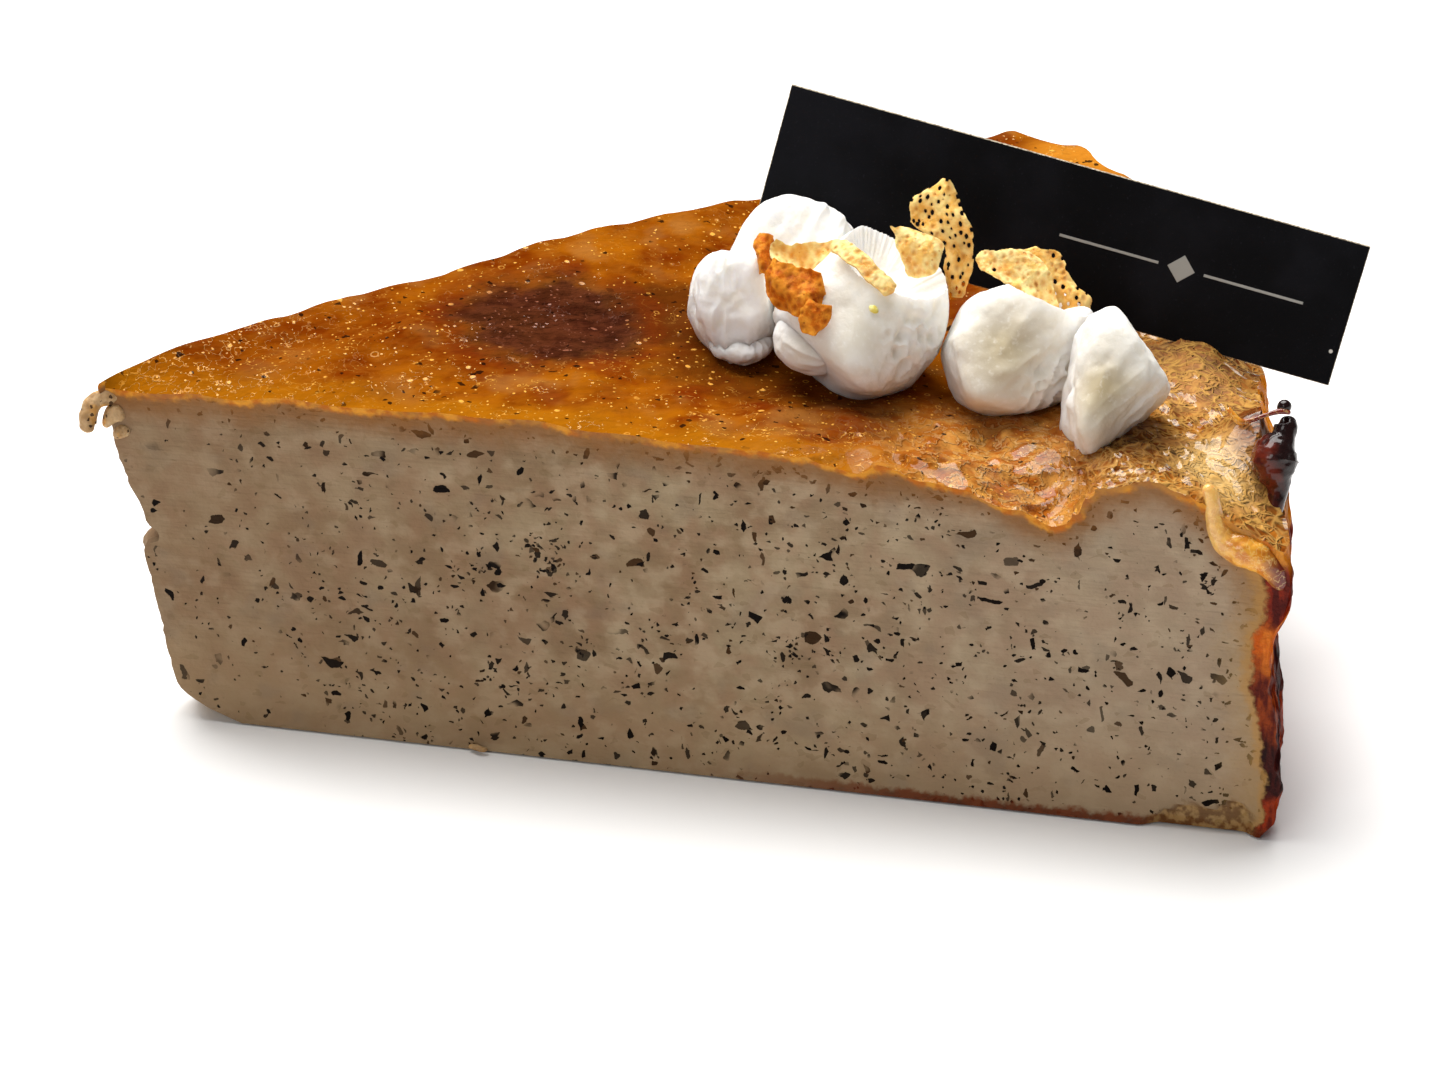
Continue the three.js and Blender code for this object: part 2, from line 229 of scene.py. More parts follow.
def crust_relief(radius, angle):
    """Millimetres that the skin stands up: broad and fine noise everywhere, winding ridges and the walls of
    burst bubbles on the bubbly part, and long soft folds on the wrinkled part."""
    x, y = level_place(radius, angle)
    height = 0.22 * grain(x / 4.3, y / 4.3, 0.5, 1) + 0.09 * grain(x / 1.3, y / 1.3, 0.5, 2)
    bubbly = bubbly_share(radius, angle)
    warp = 1.3 * grain(x / 2.6, y / 2.6, 3.5, 3)
    worms = 1 - np.abs(grain((x + warp) / 1.1, (y - warp) / 1.9, 1.5, 4)) * 2.4
    height += bubbly * (0.12 * worms + 0.5 * grain(x / 3.2, y / 3.2, 5.5, 5))
    rings = np.zeros(height.shape)
    for middle_x, middle_y, size in zip(bubble_x, bubble_y, bubble_size):
        away = np.hypot(x - middle_x, y - middle_y)
        rings += 0.3 * bell(away - size, 0.24) - 0.32 * size * bell(away, 0.8 * size)
    height += bubbly * np.clip(rings, -0.7, 0.5)
    folds = 1 - 2.2 * np.abs(grain((x + 0.6 * y) / 4.2 + warp / 3, (y - 0.4 * x) / 2.1, 7.5, 6))
    wrinkled = wrinkled_share(radius, angle)
    return height + wrinkled * (0.85 * folds + 0.15 * grain(x / 1.7, y / 1.7, 2.5, 14))


def slice_points(along, angle, up):
    """A wedge as a bent box: along runs from the tip to the outer side, angle from cut to cut and up from the
    base to the top. The radius lies between the crumbled tip and the folded side, and fine noise dents the
    cuts where they don't meet another face. By the outer side the near cut's foot is torn to a hollow.
    Gives X, Y, Z, the depth below the top, the depth in from the side and the share of the hollow."""
    spread = along * (1.25 - 0.25 * along)
    nominal = mix(TIP_HALF_WIDTH, CAKE_RADIUS, spread)
    relief = crust_relief(nominal, angle) * smooth(0.9, 1, up) * smooth(0.01, 0.06, along)
    height = top_height(nominal, angle)
    z = height * up + relief
    tip = TIP_HALF_WIDTH / math.sin(math.radians(FAR_ANGLE)) + curve(TIP_SETBACK, z)
    tip = tip + (0.28 * grain(z / 0.9, 0.5, 2.5, 7) + 0.2 * grain(z / 0.35, 4.5, 2.5, 8)) * smooth(0, 2, z)
    side = side_radius(angle, z)
    side = side + 0.35 * grain(angle / 1.4, z / 1.9, 1.5, 9) + 0.16 * grain(angle / 0.5, z / 0.8, 3.5, 10)
    radius = mix(tip, side, spread)
    cut = smooth(0.012, 0.05, along) * smooth(1, 0.975, along) * smooth(0, 0.04, up) * smooth(1, 0.96, up)
    dent = 0.23 + 0.16 * grain(radius / 9, z / 7, 0.5, 12) + 0.07 * grain(radius / 2.2, z / 1.5, 4.5, 13)
    near = angle <= NEAR_ANGLE
    lip = curve(TORN_LIP, radius) + 0.25 * grain(radius / 0.7, 0.5, 3.5, 15)
    hollow = smooth(lip + 0.1, lip - 0.5, z) * smooth(98.5, 100.5, radius) * smooth(109.6, 108, radius)
    hollow = near * hollow
    inwards = np.where(near, 1, np.where(angle >= FAR_ANGLE, -1, 0)) * (dent * cut + HOLLOW_DEPTH * hollow)
    bent = np.radians(angle) + inwards / np.maximum(radius, 2)
    x, y = radius * np.cos(bent), radius * np.sin(bent)
    return x, y, z, height * (1 - up), CAKE_RADIUS * (1 - spread), hollow


def grid_faces(rows, columns, start=0):
    """The four-cornered faces of a grid of points that is stored row by row."""
    i, j = np.meshgrid(np.arange(rows - 1), np.arange(columns - 1), indexing="ij")
    corner = (start + i * columns + j).ravel()
    return np.stack([corner, corner + 1, corner + columns + 1, corner + columns], axis=1)


def weld(table, faces):
    """Merges points whose places agree to a ten-thousandth of a millimetre, and drops faces that collapse.
    Gives the points that stay, the faces as lists and the numbers of the faces that stay."""
    _, kept, merged = np.unique(np.round(table[:, :3], 4), axis=0, return_index=True, return_inverse=True)
    lists = [list(dict.fromkeys(face)) for face in merged.ravel()[faces].tolist()]
    solid = [k for k, face in enumerate(lists) if len(face) > 2]
    return table[kept], [lists[k] for k in solid], solid


def add_piece(name, points, faces, finishes, replaces=(), kinds=None, fields=None, sharp=40):
    """A mesh piece from points in millimetres, smooth but for edges sharper than an angle, with its
    finishes, the number of each face's finish and any named values of its points. It rides on the whole."""
    mesh = bpy.data.meshes.new(name)
    mesh.from_pydata(np.asarray(points) * MILLIMETRE, [], faces)
    for finish in finishes:
        mesh.materials.append(finish)
    if kinds is not None:
        mesh.polygons.foreach_set("material_index", np.asarray(kinds, np.int32))
    for field, values in (fields or {}).items():
        attribute = mesh.attributes.new(field, "FLOAT", "POINT")
        attribute.data.foreach_set("value", np.asarray(values, np.float32))
    mesh.shade_smooth()
    mesh.set_sharp_from_angle(angle=math.radians(sharp))
    mesh.validate()
    piece = bpy.data.objects.new(name, mesh)
    scene.collection.objects.link(piece)
    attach(piece, "root")
    if replaces:
        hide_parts(*replaces)


class Wire:
    """A socket in a material's node tree. Sums and products of wires add Math nodes, or Vector Math nodes
    where a vector or a colour takes part."""

    def __init__(self, tree, socket=None):
        self.tree = tree
        self.socket = socket

    def node(self, kind, settings, values, out=0):
        """Adds a node of a kind, makes its settings and fills its inputs. Gives one of its outputs."""
        made = self.tree.nodes.new("ShaderNode" + kind)
        for key, value in settings.items():
            setattr(made, key, value)
        for key, value in values.items():
            if isinstance(value, Wire):
                self.tree.links.new(value.socket, made.inputs[key])
            else:
                made.inputs[key].default_value = value
        return Wire(self.tree, made.outputs[out])

    def other(self, out):
        """Another output of the same node."""
        return Wire(self.tree, self.socket.node.outputs[out])

    def maths(self, operation, *terms, out=0):
        """A Math node, or a Vector Math node where a term is a vector or a colour."""
        if all(t.socket.type == "VALUE" if isinstance(t, Wire) else not isinstance(t, tuple) for t in terms):
            return self.node("Math", {"operation": operation}, dict(enumerate(terms)))
        spread = [t if isinstance(t, Wire) else t[:3] if isinstance(t, tuple) else (t,) * 3 for t in terms]
        return self.node("VectorMath", {"operation": operation}, dict(enumerate(spread)), out)

    def __add__(self, other):
        return self.maths("ADD", self, other)

    __radd__ = __add__

    def __sub__(self, other):
        return self.maths("SUBTRACT", self, other)

    def __rsub__(self, other):
        return self.maths("SUBTRACT", other, self)

    def __mul__(self, other):
        return self.maths("MULTIPLY", self, other)

    __rmul__ = __mul__

    def __truediv__(self, other):
        return self.maths("DIVIDE", self, other)

    def __pow__(self, other):
        return self.maths("POWER", self, other)

    def __abs__(self):
        return self.maths("ABSOLUTE", self)

    def dot(self, other):
        return self.maths("DOT_PRODUCT", self, other, out=1)

    def length(self):
        return self.maths("LENGTH", self, out=1)

    def greater(self, other):
        """The greater of this and another."""
        return self.maths("MAXIMUM", self, other)

    def rise(self, start, end):
        """0 up to start, 1 from end on, and a smoothstep between them."""
        settings = {"interpolation_type": "SMOOTHSTEP"}
        return self.node("MapRange", settings, {0: self, 1: start, 2: end, 3: 0, 4: 1})

    def fall(self, start, end):
        """1 up to start, 0 from end on, and a smoothstep between them."""
        return 1 - self.rise(start, end)

    def tint(self, first, second):
        """The colour that lies this share of the way from the first to the second."""
        return self.node("Mix", {"data_type": "RGBA"}, {0: self, 6: first, 7: second}, 2)

    def blend(self, start, end, first, second, lift=1):
        """The first colour up to start, the second from end on, and a blend between them."""
        return self.rise(start, end).tint(as_colour(first, lift), as_colour(second, lift))

    def noise(self, size, detail=2, shift=0, out=0):
        """Fractal noise about 0.5 whose lumps are about that many millimetres wide."""
        values = {"Vector": self + shift, "Scale": 1 / size, "Detail": detail}
        return self.node("TexNoise", {}, values, out)

    def sway(self, reach, size, detail, shift):
        """Noise about zero, up to about half a reach either way."""
        return (self.noise(size, detail, shift) - 0.5) * reach

    def stir(self, reach, size, detail=3, shift=0):
        """A push in a random direction, of about half a reach, that changes over lumps of a size."""
        return reach * (self.noise(size, detail, shift, out=1) - 0.5)

    def zone(self, middle, half_width, half_depth):
        """How far a place is from a middle in X and Y, in shares of an oval's half width and half depth."""
        return ((self - (*middle, 0)) * (1 / half_width, 1 / half_depth, 0)).length()

    def field(self, name):
        """One of the values that the mesh holds at its points."""
        return self.node("Attribute", {"attribute_name": name}, {}, 2)


def shade(red, green, blue, lift=1):
    """A screen colour from 0 to 255 as the linear numbers of a shader, times a lift."""
    parts = [c / 255 for c in (red, green, blue)]
    linear = [p / 12.92 if p <= 0.04045 else ((p + 0.055) / 1.055) ** 2.4 for p in parts]
    return tuple(min(c * lift, 1) for c in linear) + (1,)


def as_colour(tone, lift):
    """A wire as it is, or a screen colour, which may bring a lift of its own, as a shader's numbers."""
    return tone if isinstance(tone, Wire) else shade(*(*tone, lift)[:4])


def paint(colour, lift, layers):
    """A colour under layers in turn, each of them a share and a colour."""
    for share, tone in layers:
        colour = share.tint(colour, as_colour(tone, lift))
    return colour


def new_finish(name):
    """An empty material, and a wire that holds the place on the object in millimetres."""
    material = bpy.data.materials.new(name)
    material.use_nodes = True
    material.node_tree.nodes.clear()
    place = Wire(material.node_tree).node("TexCoord", {}, {}, "Object") * (1 / MILLIMETRE)
    return material, place


def close_finish(place, relief, values):
    """Ends a material: a relief in millimetres as a bump, and values or wires for the shader's sockets."""
    bump = place.node("Bump", {}, {"Height": relief, "Distance": MILLIMETRE, "Strength": 1})
    shader = place.node("BsdfPrincipled", {}, {**values, "Normal": bump})
    output = place.tree.nodes.new("ShaderNodeOutputMaterial")
    place.tree.links.new(shader.socket, output.inputs["Surface"])


def leaf_bits(place, size, share, shift, drawn=(1, 1, 1)):
    """Angular bits of leaf: 1 in the cells of a cell pattern that chance picks and 0 elsewhere, and the
    cells' chances. Size is a cell's width, share the part that is picked, drawn the stretch by axis."""
    spot = place * tuple(d / size for d in drawn) + shift
    chance = spot.node("TexVoronoi", {}, {"Vector": spot, "Scale": 1}, 1)
    luck = chance.dot((1, 0, 0))
    return (share - luck).rise(-0.002, 0.002), chance


def dots(place, cell, least, most, share, shift):
    """Round dots: 1 inside a circle round the random points of a cell pattern, of a radius between least and
    most by chance, for that share of the points."""
    spot = place / cell + shift
    away = spot.node("TexVoronoi", {}, {"Vector": spot, "Scale": 1})
    chance = away.other("Color")
    radius = least / cell + (most - least) / cell * chance.dot((0, 1, 0)) ** 2
    return (away / radius).fall(0.6, 1) * (share - chance.dot((1, 0, 0))).rise(-0.01, 0.01)


def cell_walls(place, size):
    """The share of a cell's width that lies between a place and the nearest wall of a cell pattern."""
    values = {"Vector": place * (1 / size), "Scale": 1}
    return place.node("TexVoronoi", {"feature": "DISTANCE_TO_EDGE"}, values)


def lines(pattern, width):
    """Winding lines: 1 where a noise passes its middle value and 0 a width of its value to either side."""
    return (abs(pattern - 0.5) / width).fall(0.25, 1)


CUT_TURN = math.radians(-NEAR_ANGLE)


def from_near_cut(place):
    """The distance from the near cut's plane."""
    return place.dot((math.sin(CUT_TURN), math.cos(CUT_TURN), 0)) - TIP_X * math.sin(CUT_TURN)


def crust_tones(place):
    """The baked side's colours by height: a red foot, near black, red brown, orange, dark red and amber. Away
    from the near cut the bands break up into patches."""
    beyond = from_near_cut(place).rise(3, 16)
    height = place.dot((0, 0, 1)) + place.sway(5, 3.2, 3, 6)
    height = height + place.sway(46, 11, 3, 96) * beyond
    streak = (place * (1.6, 1.6, 0.5)).noise(1.1, 4, 13).rise(0.4, 0.62)
    bands = [
        (3.2, 4.6, (38, 14, 14), (70, 26, 22)),
        (9.6, 11.4, (84, 24, 14), (140, 58, 22)),
        (17.2, 18.6, (190, 84, 18), (216, 116, 34)),
        (21.8, 23.2, (78, 18, 12), (128, 36, 16)),
        (27, 28.8, (196, 104, 20), (222, 142, 44)),
    ]
    colour = streak.tint(shade(156, 54, 24), shade(96, 28, 14))
    for start, end, first, second in bands:
        colour = height.rise(start, end).tint(colour, streak.tint(shade(*first), shade(*second)))
    return colour


custard, place = new_finish("custard with tea leaf")
below, inward, hollow = place.field("below"), place.field("inward"), place.field("hollow")
height = place.dot((0, 0, 1))
from_tip = place.dot((1, 0, 0)) - TIP_X
wobble = place + place.stir(1.6, 2.6, 1, 5) + place.stir(0.3, 0.5)
smear = (place * (1, 1, 1.2)).noise(2.6, 3, 57)
faint, _ = leaf_bits(wobble, 0.7, 0.03, 41.7, (0.8, 1, 1.3))
CUSTARD_LIFT = 1.03
colour = place.noise(7, 3).blend(0.35, 0.65, (133, 109, 82), (152, 132, 104), CUSTARD_LIFT)
colour = paint(colour, CUSTARD_LIFT, [
    (place.noise(3, 2, 31).rise(0.38, 0.66) * 0.5, (146, 113, 88)),
    (smear.rise(0.46, 0.68) * 0.45, (178, 158, 130)),
    (smear.fall(0.32, 0.46) * 0.3, (118, 92, 70)),
    (from_tip.fall(0, 60) * 0.55, (126, 99, 74)),
    (from_tip.rise(50, 100) * 0.5, (170, 151, 130)),
    # Painted light: the custard is lighter over its lowest 14 millimetres, where the cut falls in shade.
    (height.fall(0, 14) * 0.45, (162, 134, 100)),
    (place.noise(4.2, 2, 71).rise(0.56, 0.72) * 0.2, (118, 106, 94)),
    (faint * 0.25, (112, 90, 60)),
])
CLUSTERS = [((-16, -16.5, 21.5), 2.6), ((40.5, -39.7, 25.5), 1.5), ((6, -25.5, 14), 2)]
crowd = place.noise(6, 3, 71).rise(0.3, 0.7) * 1.1 + 0.3
crowd = crowd * (0.45 + 0.55 * from_tip.rise(5, 30))
for spot, reach in CLUSTERS:
    crowd = crowd + (place - spot).length().fall(0.3 * reach, reach) * 5
LEAF_SIZES = [
    (1.02, 0.013, 0, (0.8, 1, 1.4)), (0.7, 0.021, 7.3, (1.5, 1.1, 0.8)),
    (0.46, 0.022, 19.1, (0.9, 1, 1.2)), (0.26, 0.022, 33.7, (1, 1, 1)),
]
leaf = 0
for size, share, shift, drawn in LEAF_SIZES:
    bits, chance = leaf_bits(wobble, size, share * crowd, shift, drawn)
    leaf_tone = chance.dot((0, 1, 0)).blend(0.8, 1, (14, 7, 4), (66, 44, 24))
    colour = (bits * (1 - 0.25 * chance.dot((0, 0, 1)) ** 3)).tint(colour, leaf_tone)
    leaf = bits.greater(leaf)
thickness = 1 + 3 * inward.fall(1, 10)
skin_wave = place.noise(2.4, 3, 3) * 1.2 - 0.6 + place.sway(1.2, 0.6, 3, 49)
under_skin = (below / thickness + skin_wave).fall(0.4, 4)
skin_edge = (below / thickness + skin_wave * 0.7).fall(0.15, 0.95)
skin_line = place.noise(5, 3, 77).rise(0.4, 0.56) * 0.55 + 0.4
skin_tone = place.noise(1.4, 3, 62).blend(0.38, 0.62, (176, 94, 12), (206, 136, 36), 1.1)
near_side = (inward + skin_wave * 2).fall(1, 6.5)
crust_depth = 1.3 + 0.5 * height.rise(5, 15) + 0.9 * height.rise(22, 28)
in_crusts = (inward + skin_wave * 0.9) / crust_depth
side_edge = in_crusts.fall(0.75, 1.1)
base_edge = (height + skin_wave * 0.9).fall(0.5, 1.15) * from_tip.rise(48, 74)
# The torn hollow under the lip: the custard's own tan and amber, darkened further by painted shade in the
# recess.
hollow_tone_and_shade = place.noise(0.9, 3, 87).blend(0.4, 0.6, (112, 74, 38), (184, 146, 92))
colour = paint(colour, CUSTARD_LIFT, [
    (under_skin * 0.85, (130, 84, 42)),
    (skin_edge * skin_line, skin_tone),
    (near_side * 0.6, (164, 130, 84)),
    (in_crusts.fall(1.1, 1.7) * 0.55, (176, 128, 66)),
    (side_edge, crust_tones(place)),
    (base_edge * 0.9, skin_wave.blend(-0.2, 0.6, (112, 48, 20), (70, 24, 10))),
    (hollow * 0.75, hollow_tone_and_shade),
])
fine = place.noise(0.35, 3, 9) * 0.06 + place.noise(1.6, 3, 15) * 0.2
streaks = (place * (0.25, 0.25, 3)).noise(1.1, 2, 23) * 0.1
torn = side_edge * place.noise(0.8, 4, 47) * 0.5
close_finish(place, fine + streaks + torn - leaf * 0.05, {
    "Base Color": colour,
    "Roughness": 0.6 - leaf * 0.1,
    "Specular IOR Level": 0.04,
    "Coat Weight": side_edge * 0.1 + skin_edge * 0.15,
    "Coat Roughness": 0.15,
})

caramel, place = new_finish("caramelised top")
bubbly, wrinkled, burnt = place.field("bubbly"), place.field("wrinkled"), place.field("burnt")
wobble = place + place.stir(0.5, 0.8)
from_cut = from_near_cut(place)
from_tip = place.dot((1, 0, 0)) - TIP_X
TOP_LIFT = 0.475
BURNT_OVAL, BROWN_PATCH, BURN_SHADOW_TRAIL_MIDDLE, FAR_RIM = (-12.6, 4.4), (-1, 5), (6, -8), (47.5, 33)
DARK_DIP, HIGHLIGHT_SHOULDER, SHEEN_PATCH = (37, -27.5), (43.3, -32.5), (46, -13)
streak = (place * (1, 1.6, 1)).noise(2, 4, 14).rise(0.38, 0.66)
edge_share = (from_cut + place.sway(6, 3, 3, 52)).fall(0.5, 6)
oval = place.zone(BURNT_OVAL, 9.2, 8.8) + place.sway(0.8, 4, 3, 8)
burn = oval.fall(0.72, 1.2)
# A brown patch beside the burnt oval, and a trail that runs along the spoonfuls' feet: the patch is a burnt
# stain, and the trail is partly burnt skin and partly painted shadow under the cream.
patch = place.zone(BROWN_PATCH, 6.5, 7) + place.sway(0.8, 3, 3, 28)
from_trail = place - (*BURN_SHADOW_TRAIL_MIDDLE, 0)
trail_along = from_trail.dot((0.93, -0.37, 0)) / 15
trail_across = from_trail.dot((0.37, 0.93, 0)) / 5.5
burn_and_shadow_trail = trail_along * trail_along + trail_across * trail_across + place.sway(1.2, 3, 3, 18)
brown_stain_and_shadow = patch.fall(0.7, 1.3).greater(burn_and_shadow_trail.fall(0.2, 1.3) * 0.8)
colour = place.noise(6.5, 3, 4).blend(0.36, 0.64, (148, 60, 4), (206, 116, 14), TOP_LIFT)
colour = paint(colour, TOP_LIFT, [
    (streak * 0.5, (196, 112, 28)),
    (place.noise(6, 2, 101).rise(0.52, 0.68) * 0.5, (206, 140, 70)),
    (place.noise(7, 3, 44).rise(0.54, 0.66) * 0.7, (146, 48, 6)),
    (from_tip.fall(8, 48) * 0.4, (150, 62, 4)),
    (place.zone(FAR_RIM, 8, 9).fall(0.5, 1.2) * 0.75, (230, 148, 44, 0.7)),
    (edge_share * 0.75, (216, 132, 16)),
    (brown_stain_and_shadow * 0.9, (112, 54, 14)),
    (abs(oval - 1.1).fall(0, 0.25) * 0.5, (146, 58, 16)),
    (burn * 0.94, place.noise(1.6, 3, 2).blend(0.35, 0.65, (74, 34, 22), (106, 54, 34), TOP_LIFT)),
])
WET_LIFT = 0.75
wet_lines = place.noise(1.6, 3, 88)
wet_tone = place.noise(1.8, 3, 27).blend(0.36, 0.6, (184, 100, 26), (222, 156, 74), WET_LIFT)
wet_tone = paint(wet_tone, WET_LIFT, [
    (place.noise(2.8, 3, 83).rise(0.52, 0.62) * 0.4, (150, 78, 34)),
    (lines(wet_lines, 0.03) * 0.5, (238, 196, 132, 0.72)),
])
dark_zone = place.zone(DARK_DIP, 6, 8.5).fall(0.3, 1.2)
bubbly_tone = place.noise(2.6, 3, 36).blend(0.38, 0.64, (132, 60, 8, 0.58), (206, 122, 36, 0.6))
bubbly_tone = paint(bubbly_tone, 0.5, [(dark_zone * 0.7, (98, 44, 6))])
# Two pale patches on the bubbly lump, one by the near corner and a weaker one further back: painted highlight
# and sheen.
painted_highlight_zone = place.zone(HIGHLIGHT_SHOULDER, 4.5, 7).fall(0.2, 1.2)
painted_sheen = place.zone(SHEEN_PATCH, 7, 10).fall(0.3, 1.2)
curled = place + place.stir(2.4, 2.4, 1, 61)
lace = cell_walls(curled * (0.8, 1.3, 1), 1.6).fall(0.02, 0.17)
lace = lace.greater(cell_walls(curled * (1.2, 0.8, 1), 0.95).fall(0.02, 0.18) * 0.7)
lace = lace * (place.noise(2.2, 2, 63).rise(0.32, 0.55) * 0.6 + 0.4)
bit_crowd = (place.noise(5, 2, 19).rise(0.5, 0.68) + 0.25) * (1 - bubbly * 0.7)
bits, _ = leaf_bits(wobble, 0.6, 0.014 * bit_crowd, 3)
small_bits, _ = leaf_bits(wobble, 0.36, 0.02 * bit_crowd, 11)
# Pale dots, rings and fine threads on the skin: partly pale bubbles of its own, and partly painted glints
# where small bumps catch the light.
pale_dots_and_glints = dots(wobble, 0.62, 0.08, 0.2, 0.85, 0).greater(dots(wobble, 1.7, 0.12, 0.4, 0.7, 5))
ring_band = dots(wobble, 2.3, 0.3, 0.55, 0.45, 9) - dots(wobble, 2.3, 0.2, 0.43, 0.45, 9)
glint_thread_crowd = place.noise(2.4, 2, 91).rise(0.5, 0.6) * (1 - from_cut.rise(4, 18) * 0.8)
glint_thread_crowd = glint_thread_crowd.greater(from_tip.fall(12, 30) * 0.5)
glint_threads = lines(wobble.noise(1.3, 2, 81), 0.02) * glint_thread_crowd
pale = pale_dots_and_glints.greater((ring_band + glint_threads) * 0.7)
colour = paint(colour, TOP_LIFT, [
    (wrinkled * 0.9, wet_tone),
    (bubbly * 0.95, bubbly_tone),
    (painted_sheen * 0.35 * bubbly, (226, 180, 132, 0.7)),
    (painted_highlight_zone * 0.85 * bubbly, (234, 198, 130, 0.78)),
    (lace * bubbly * (0.8 - dark_zone * 0.35), (240, 184, 96, 0.72)),
    # The pale marks: partly pale bubbles, partly painted glints.
    (pale * 0.8 * (1 - bubbly * 0.7), burn.tint(shade(250, 180, 76, 0.85), shade(170, 104, 78, 0.75))),
    (burnt * 0.8, (120, 34, 12)),
    (bits.greater(small_bits) * 0.9, (44, 22, 12)),
])
wrinkle = (place * (1, 1.4, 1)).noise(0.9, 4, 66)
relief = place.noise(2.2, 2, 21) * 0.4 + wrinkle * (0.18 * (1 - bubbly) + burn * 0.5) + pale * 0.1
relief = relief + bubbly * (lace * 0.24 + place.noise(1.6, 0, 53) * 0.5)
wet_folds = place.noise(3.4, 1, 73) * 2.2 + place.noise(0.9, 2, 78) * 0.3
relief = relief + wrinkled * (wet_folds + lines(wet_lines, 0.06) * 0.15)
close_finish(place, relief, {
    "Base Color": colour,
    "Roughness": 0.36 + 0.2 * place.noise(1.4, 3, 17) + burn * 0.08 - bubbly * 0.06,
    "Coat Weight": 0.55 * wrinkled + bubbly * (0.35 + 0.5 * lace) + 0.25 * pale,
    "Coat Roughness": 0.09,
    "Specular IOR Level": 0,
})

side_skin, place = new_finish("browned side")
amber = (place.field("below") + place.noise(2, 2, 3) * 2).fall(1.4, 4)
bits, _ = leaf_bits(place + place.stir(0.8, 1.3), 0.7, 0.05, 3)
colour = paint(crust_tones(place), 1, [
    (amber * 0.8, (206, 120, 28)),
    (place.field("burnt") * 0.95, (44, 18, 14)),
    (bits * 0.8, (40, 16, 10)),
])
relief = place.noise(1.8, 4, 3) * 0.8 + place.noise(0.5, 3, 43) * 0.22
close_finish(place, relief, {
    "Base Color": colour,
    "Roughness": 0.45 + 0.25 * place.noise(1.1, 3, 29),
    "Specular IOR Level": 0,
    "Coat Weight": 0.12 * place.noise(1.7, 3, 59).rise(0.45, 0.6),
    "Coat Roughness": 0.12,
    "Coat IOR": 1.35,
})

ALONG_STEPS, ANGLE_STEPS, UP_STEPS = 290, 120, 70
along = np.linspace(0, 1, ALONG_STEPS + 1)
across = np.linspace(0, 1, ANGLE_STEPS + 1)
angles = mix(NEAR_ANGLE, FAR_ANGLE, across * (0.45 + 0.55 * across))
ups = 1 - (1 - np.linspace(0, 1, UP_STEPS + 1)) ** 1.3
patches = [
    (along[:, None], angles[None, :], 1.0, True, 1),
    (along[:, None], NEAR_ANGLE, ups[None, :], True, 0),
    (along[:, None], FAR_ANGLE, ups[None, :], False, 0),
    (1.0, angles[:, None], ups[None, :], True, 2),
    (0.0, angles[:, None], ups[None, :], False, 0),
]
parts, faces, kinds, first = [], [], [], 0
for patch_along, patch_angle, patch_up, flip, kind in patches:
    spot = [np.asarray(s, float) for s in np.broadcast_arrays(patch_along, patch_angle, patch_up)]
    far, angle, up = spot
    burnt = bell(angle + 15, 2.3) + bell(angle - 14.6, 1.6)
    burnt = burnt * smooth(0.955, 0.985, far) * smooth(0.7, 0.85, up)
    shares = bubbly_share(CAKE_RADIUS * far, angle), wrinkled_share(CAKE_RADIUS * far, angle), burnt
    parts.append(np.stack([v.ravel() for v in (*slice_points(*spot), *shares)], axis=1))
    made = grid_faces(*far.shape, first)
    faces.append(made[:, ::-1] if flip else made)
    kinds.append(np.full(len(made), kind))
    first += far.size
table, whole, solid = weld(np.concatenate(parts), np.concatenate(faces))
points = table[:, :3] + (TIP_X, 0, 0)
points[:, 2] = np.where(points[:, 2] < 1e-6, 0, points[:, 2])
kinds = np.concatenate(kinds)[solid].tolist()
edges = {edge for face in whole for edge in zip(face, face[1:] + face[:1])}
following = {q: p for p, q in edges if (q, p) not in edges}
loop = [next(iter(following))]
while following[loop[-1]] != loop[0]:
    loop.append(following[loop[-1]])
whole.append(loop)
kinds.append(0)
names = ("below", "inward", "hollow", "bubbly", "wrinkled", "burnt")
add_piece(
    "cake", points, whole, [custard, caramel, side_skin], ["slice"], kinds,
    {name: table[:, 3 + k] for k, name in enumerate(names)}, sharp=50)

# The loose edges of the slice: rolls of skin and custard that stand clear of it. By the rim the skin ran over
# and burnt to a glossy black knob, and an amber fold turns over the cut's corner. The tip and the foot of the
# near cut end in curls of crumb, and one yellow crumb lies on the cream.
ROLL_STEPS, ROLL_AROUND = 150, 44


def lump_noise(spots, size, seed):
    """Value noise at points, with lumps about that many millimetres wide."""
    return grain(*np.moveaxis(spots / size, -1, 0), seed)


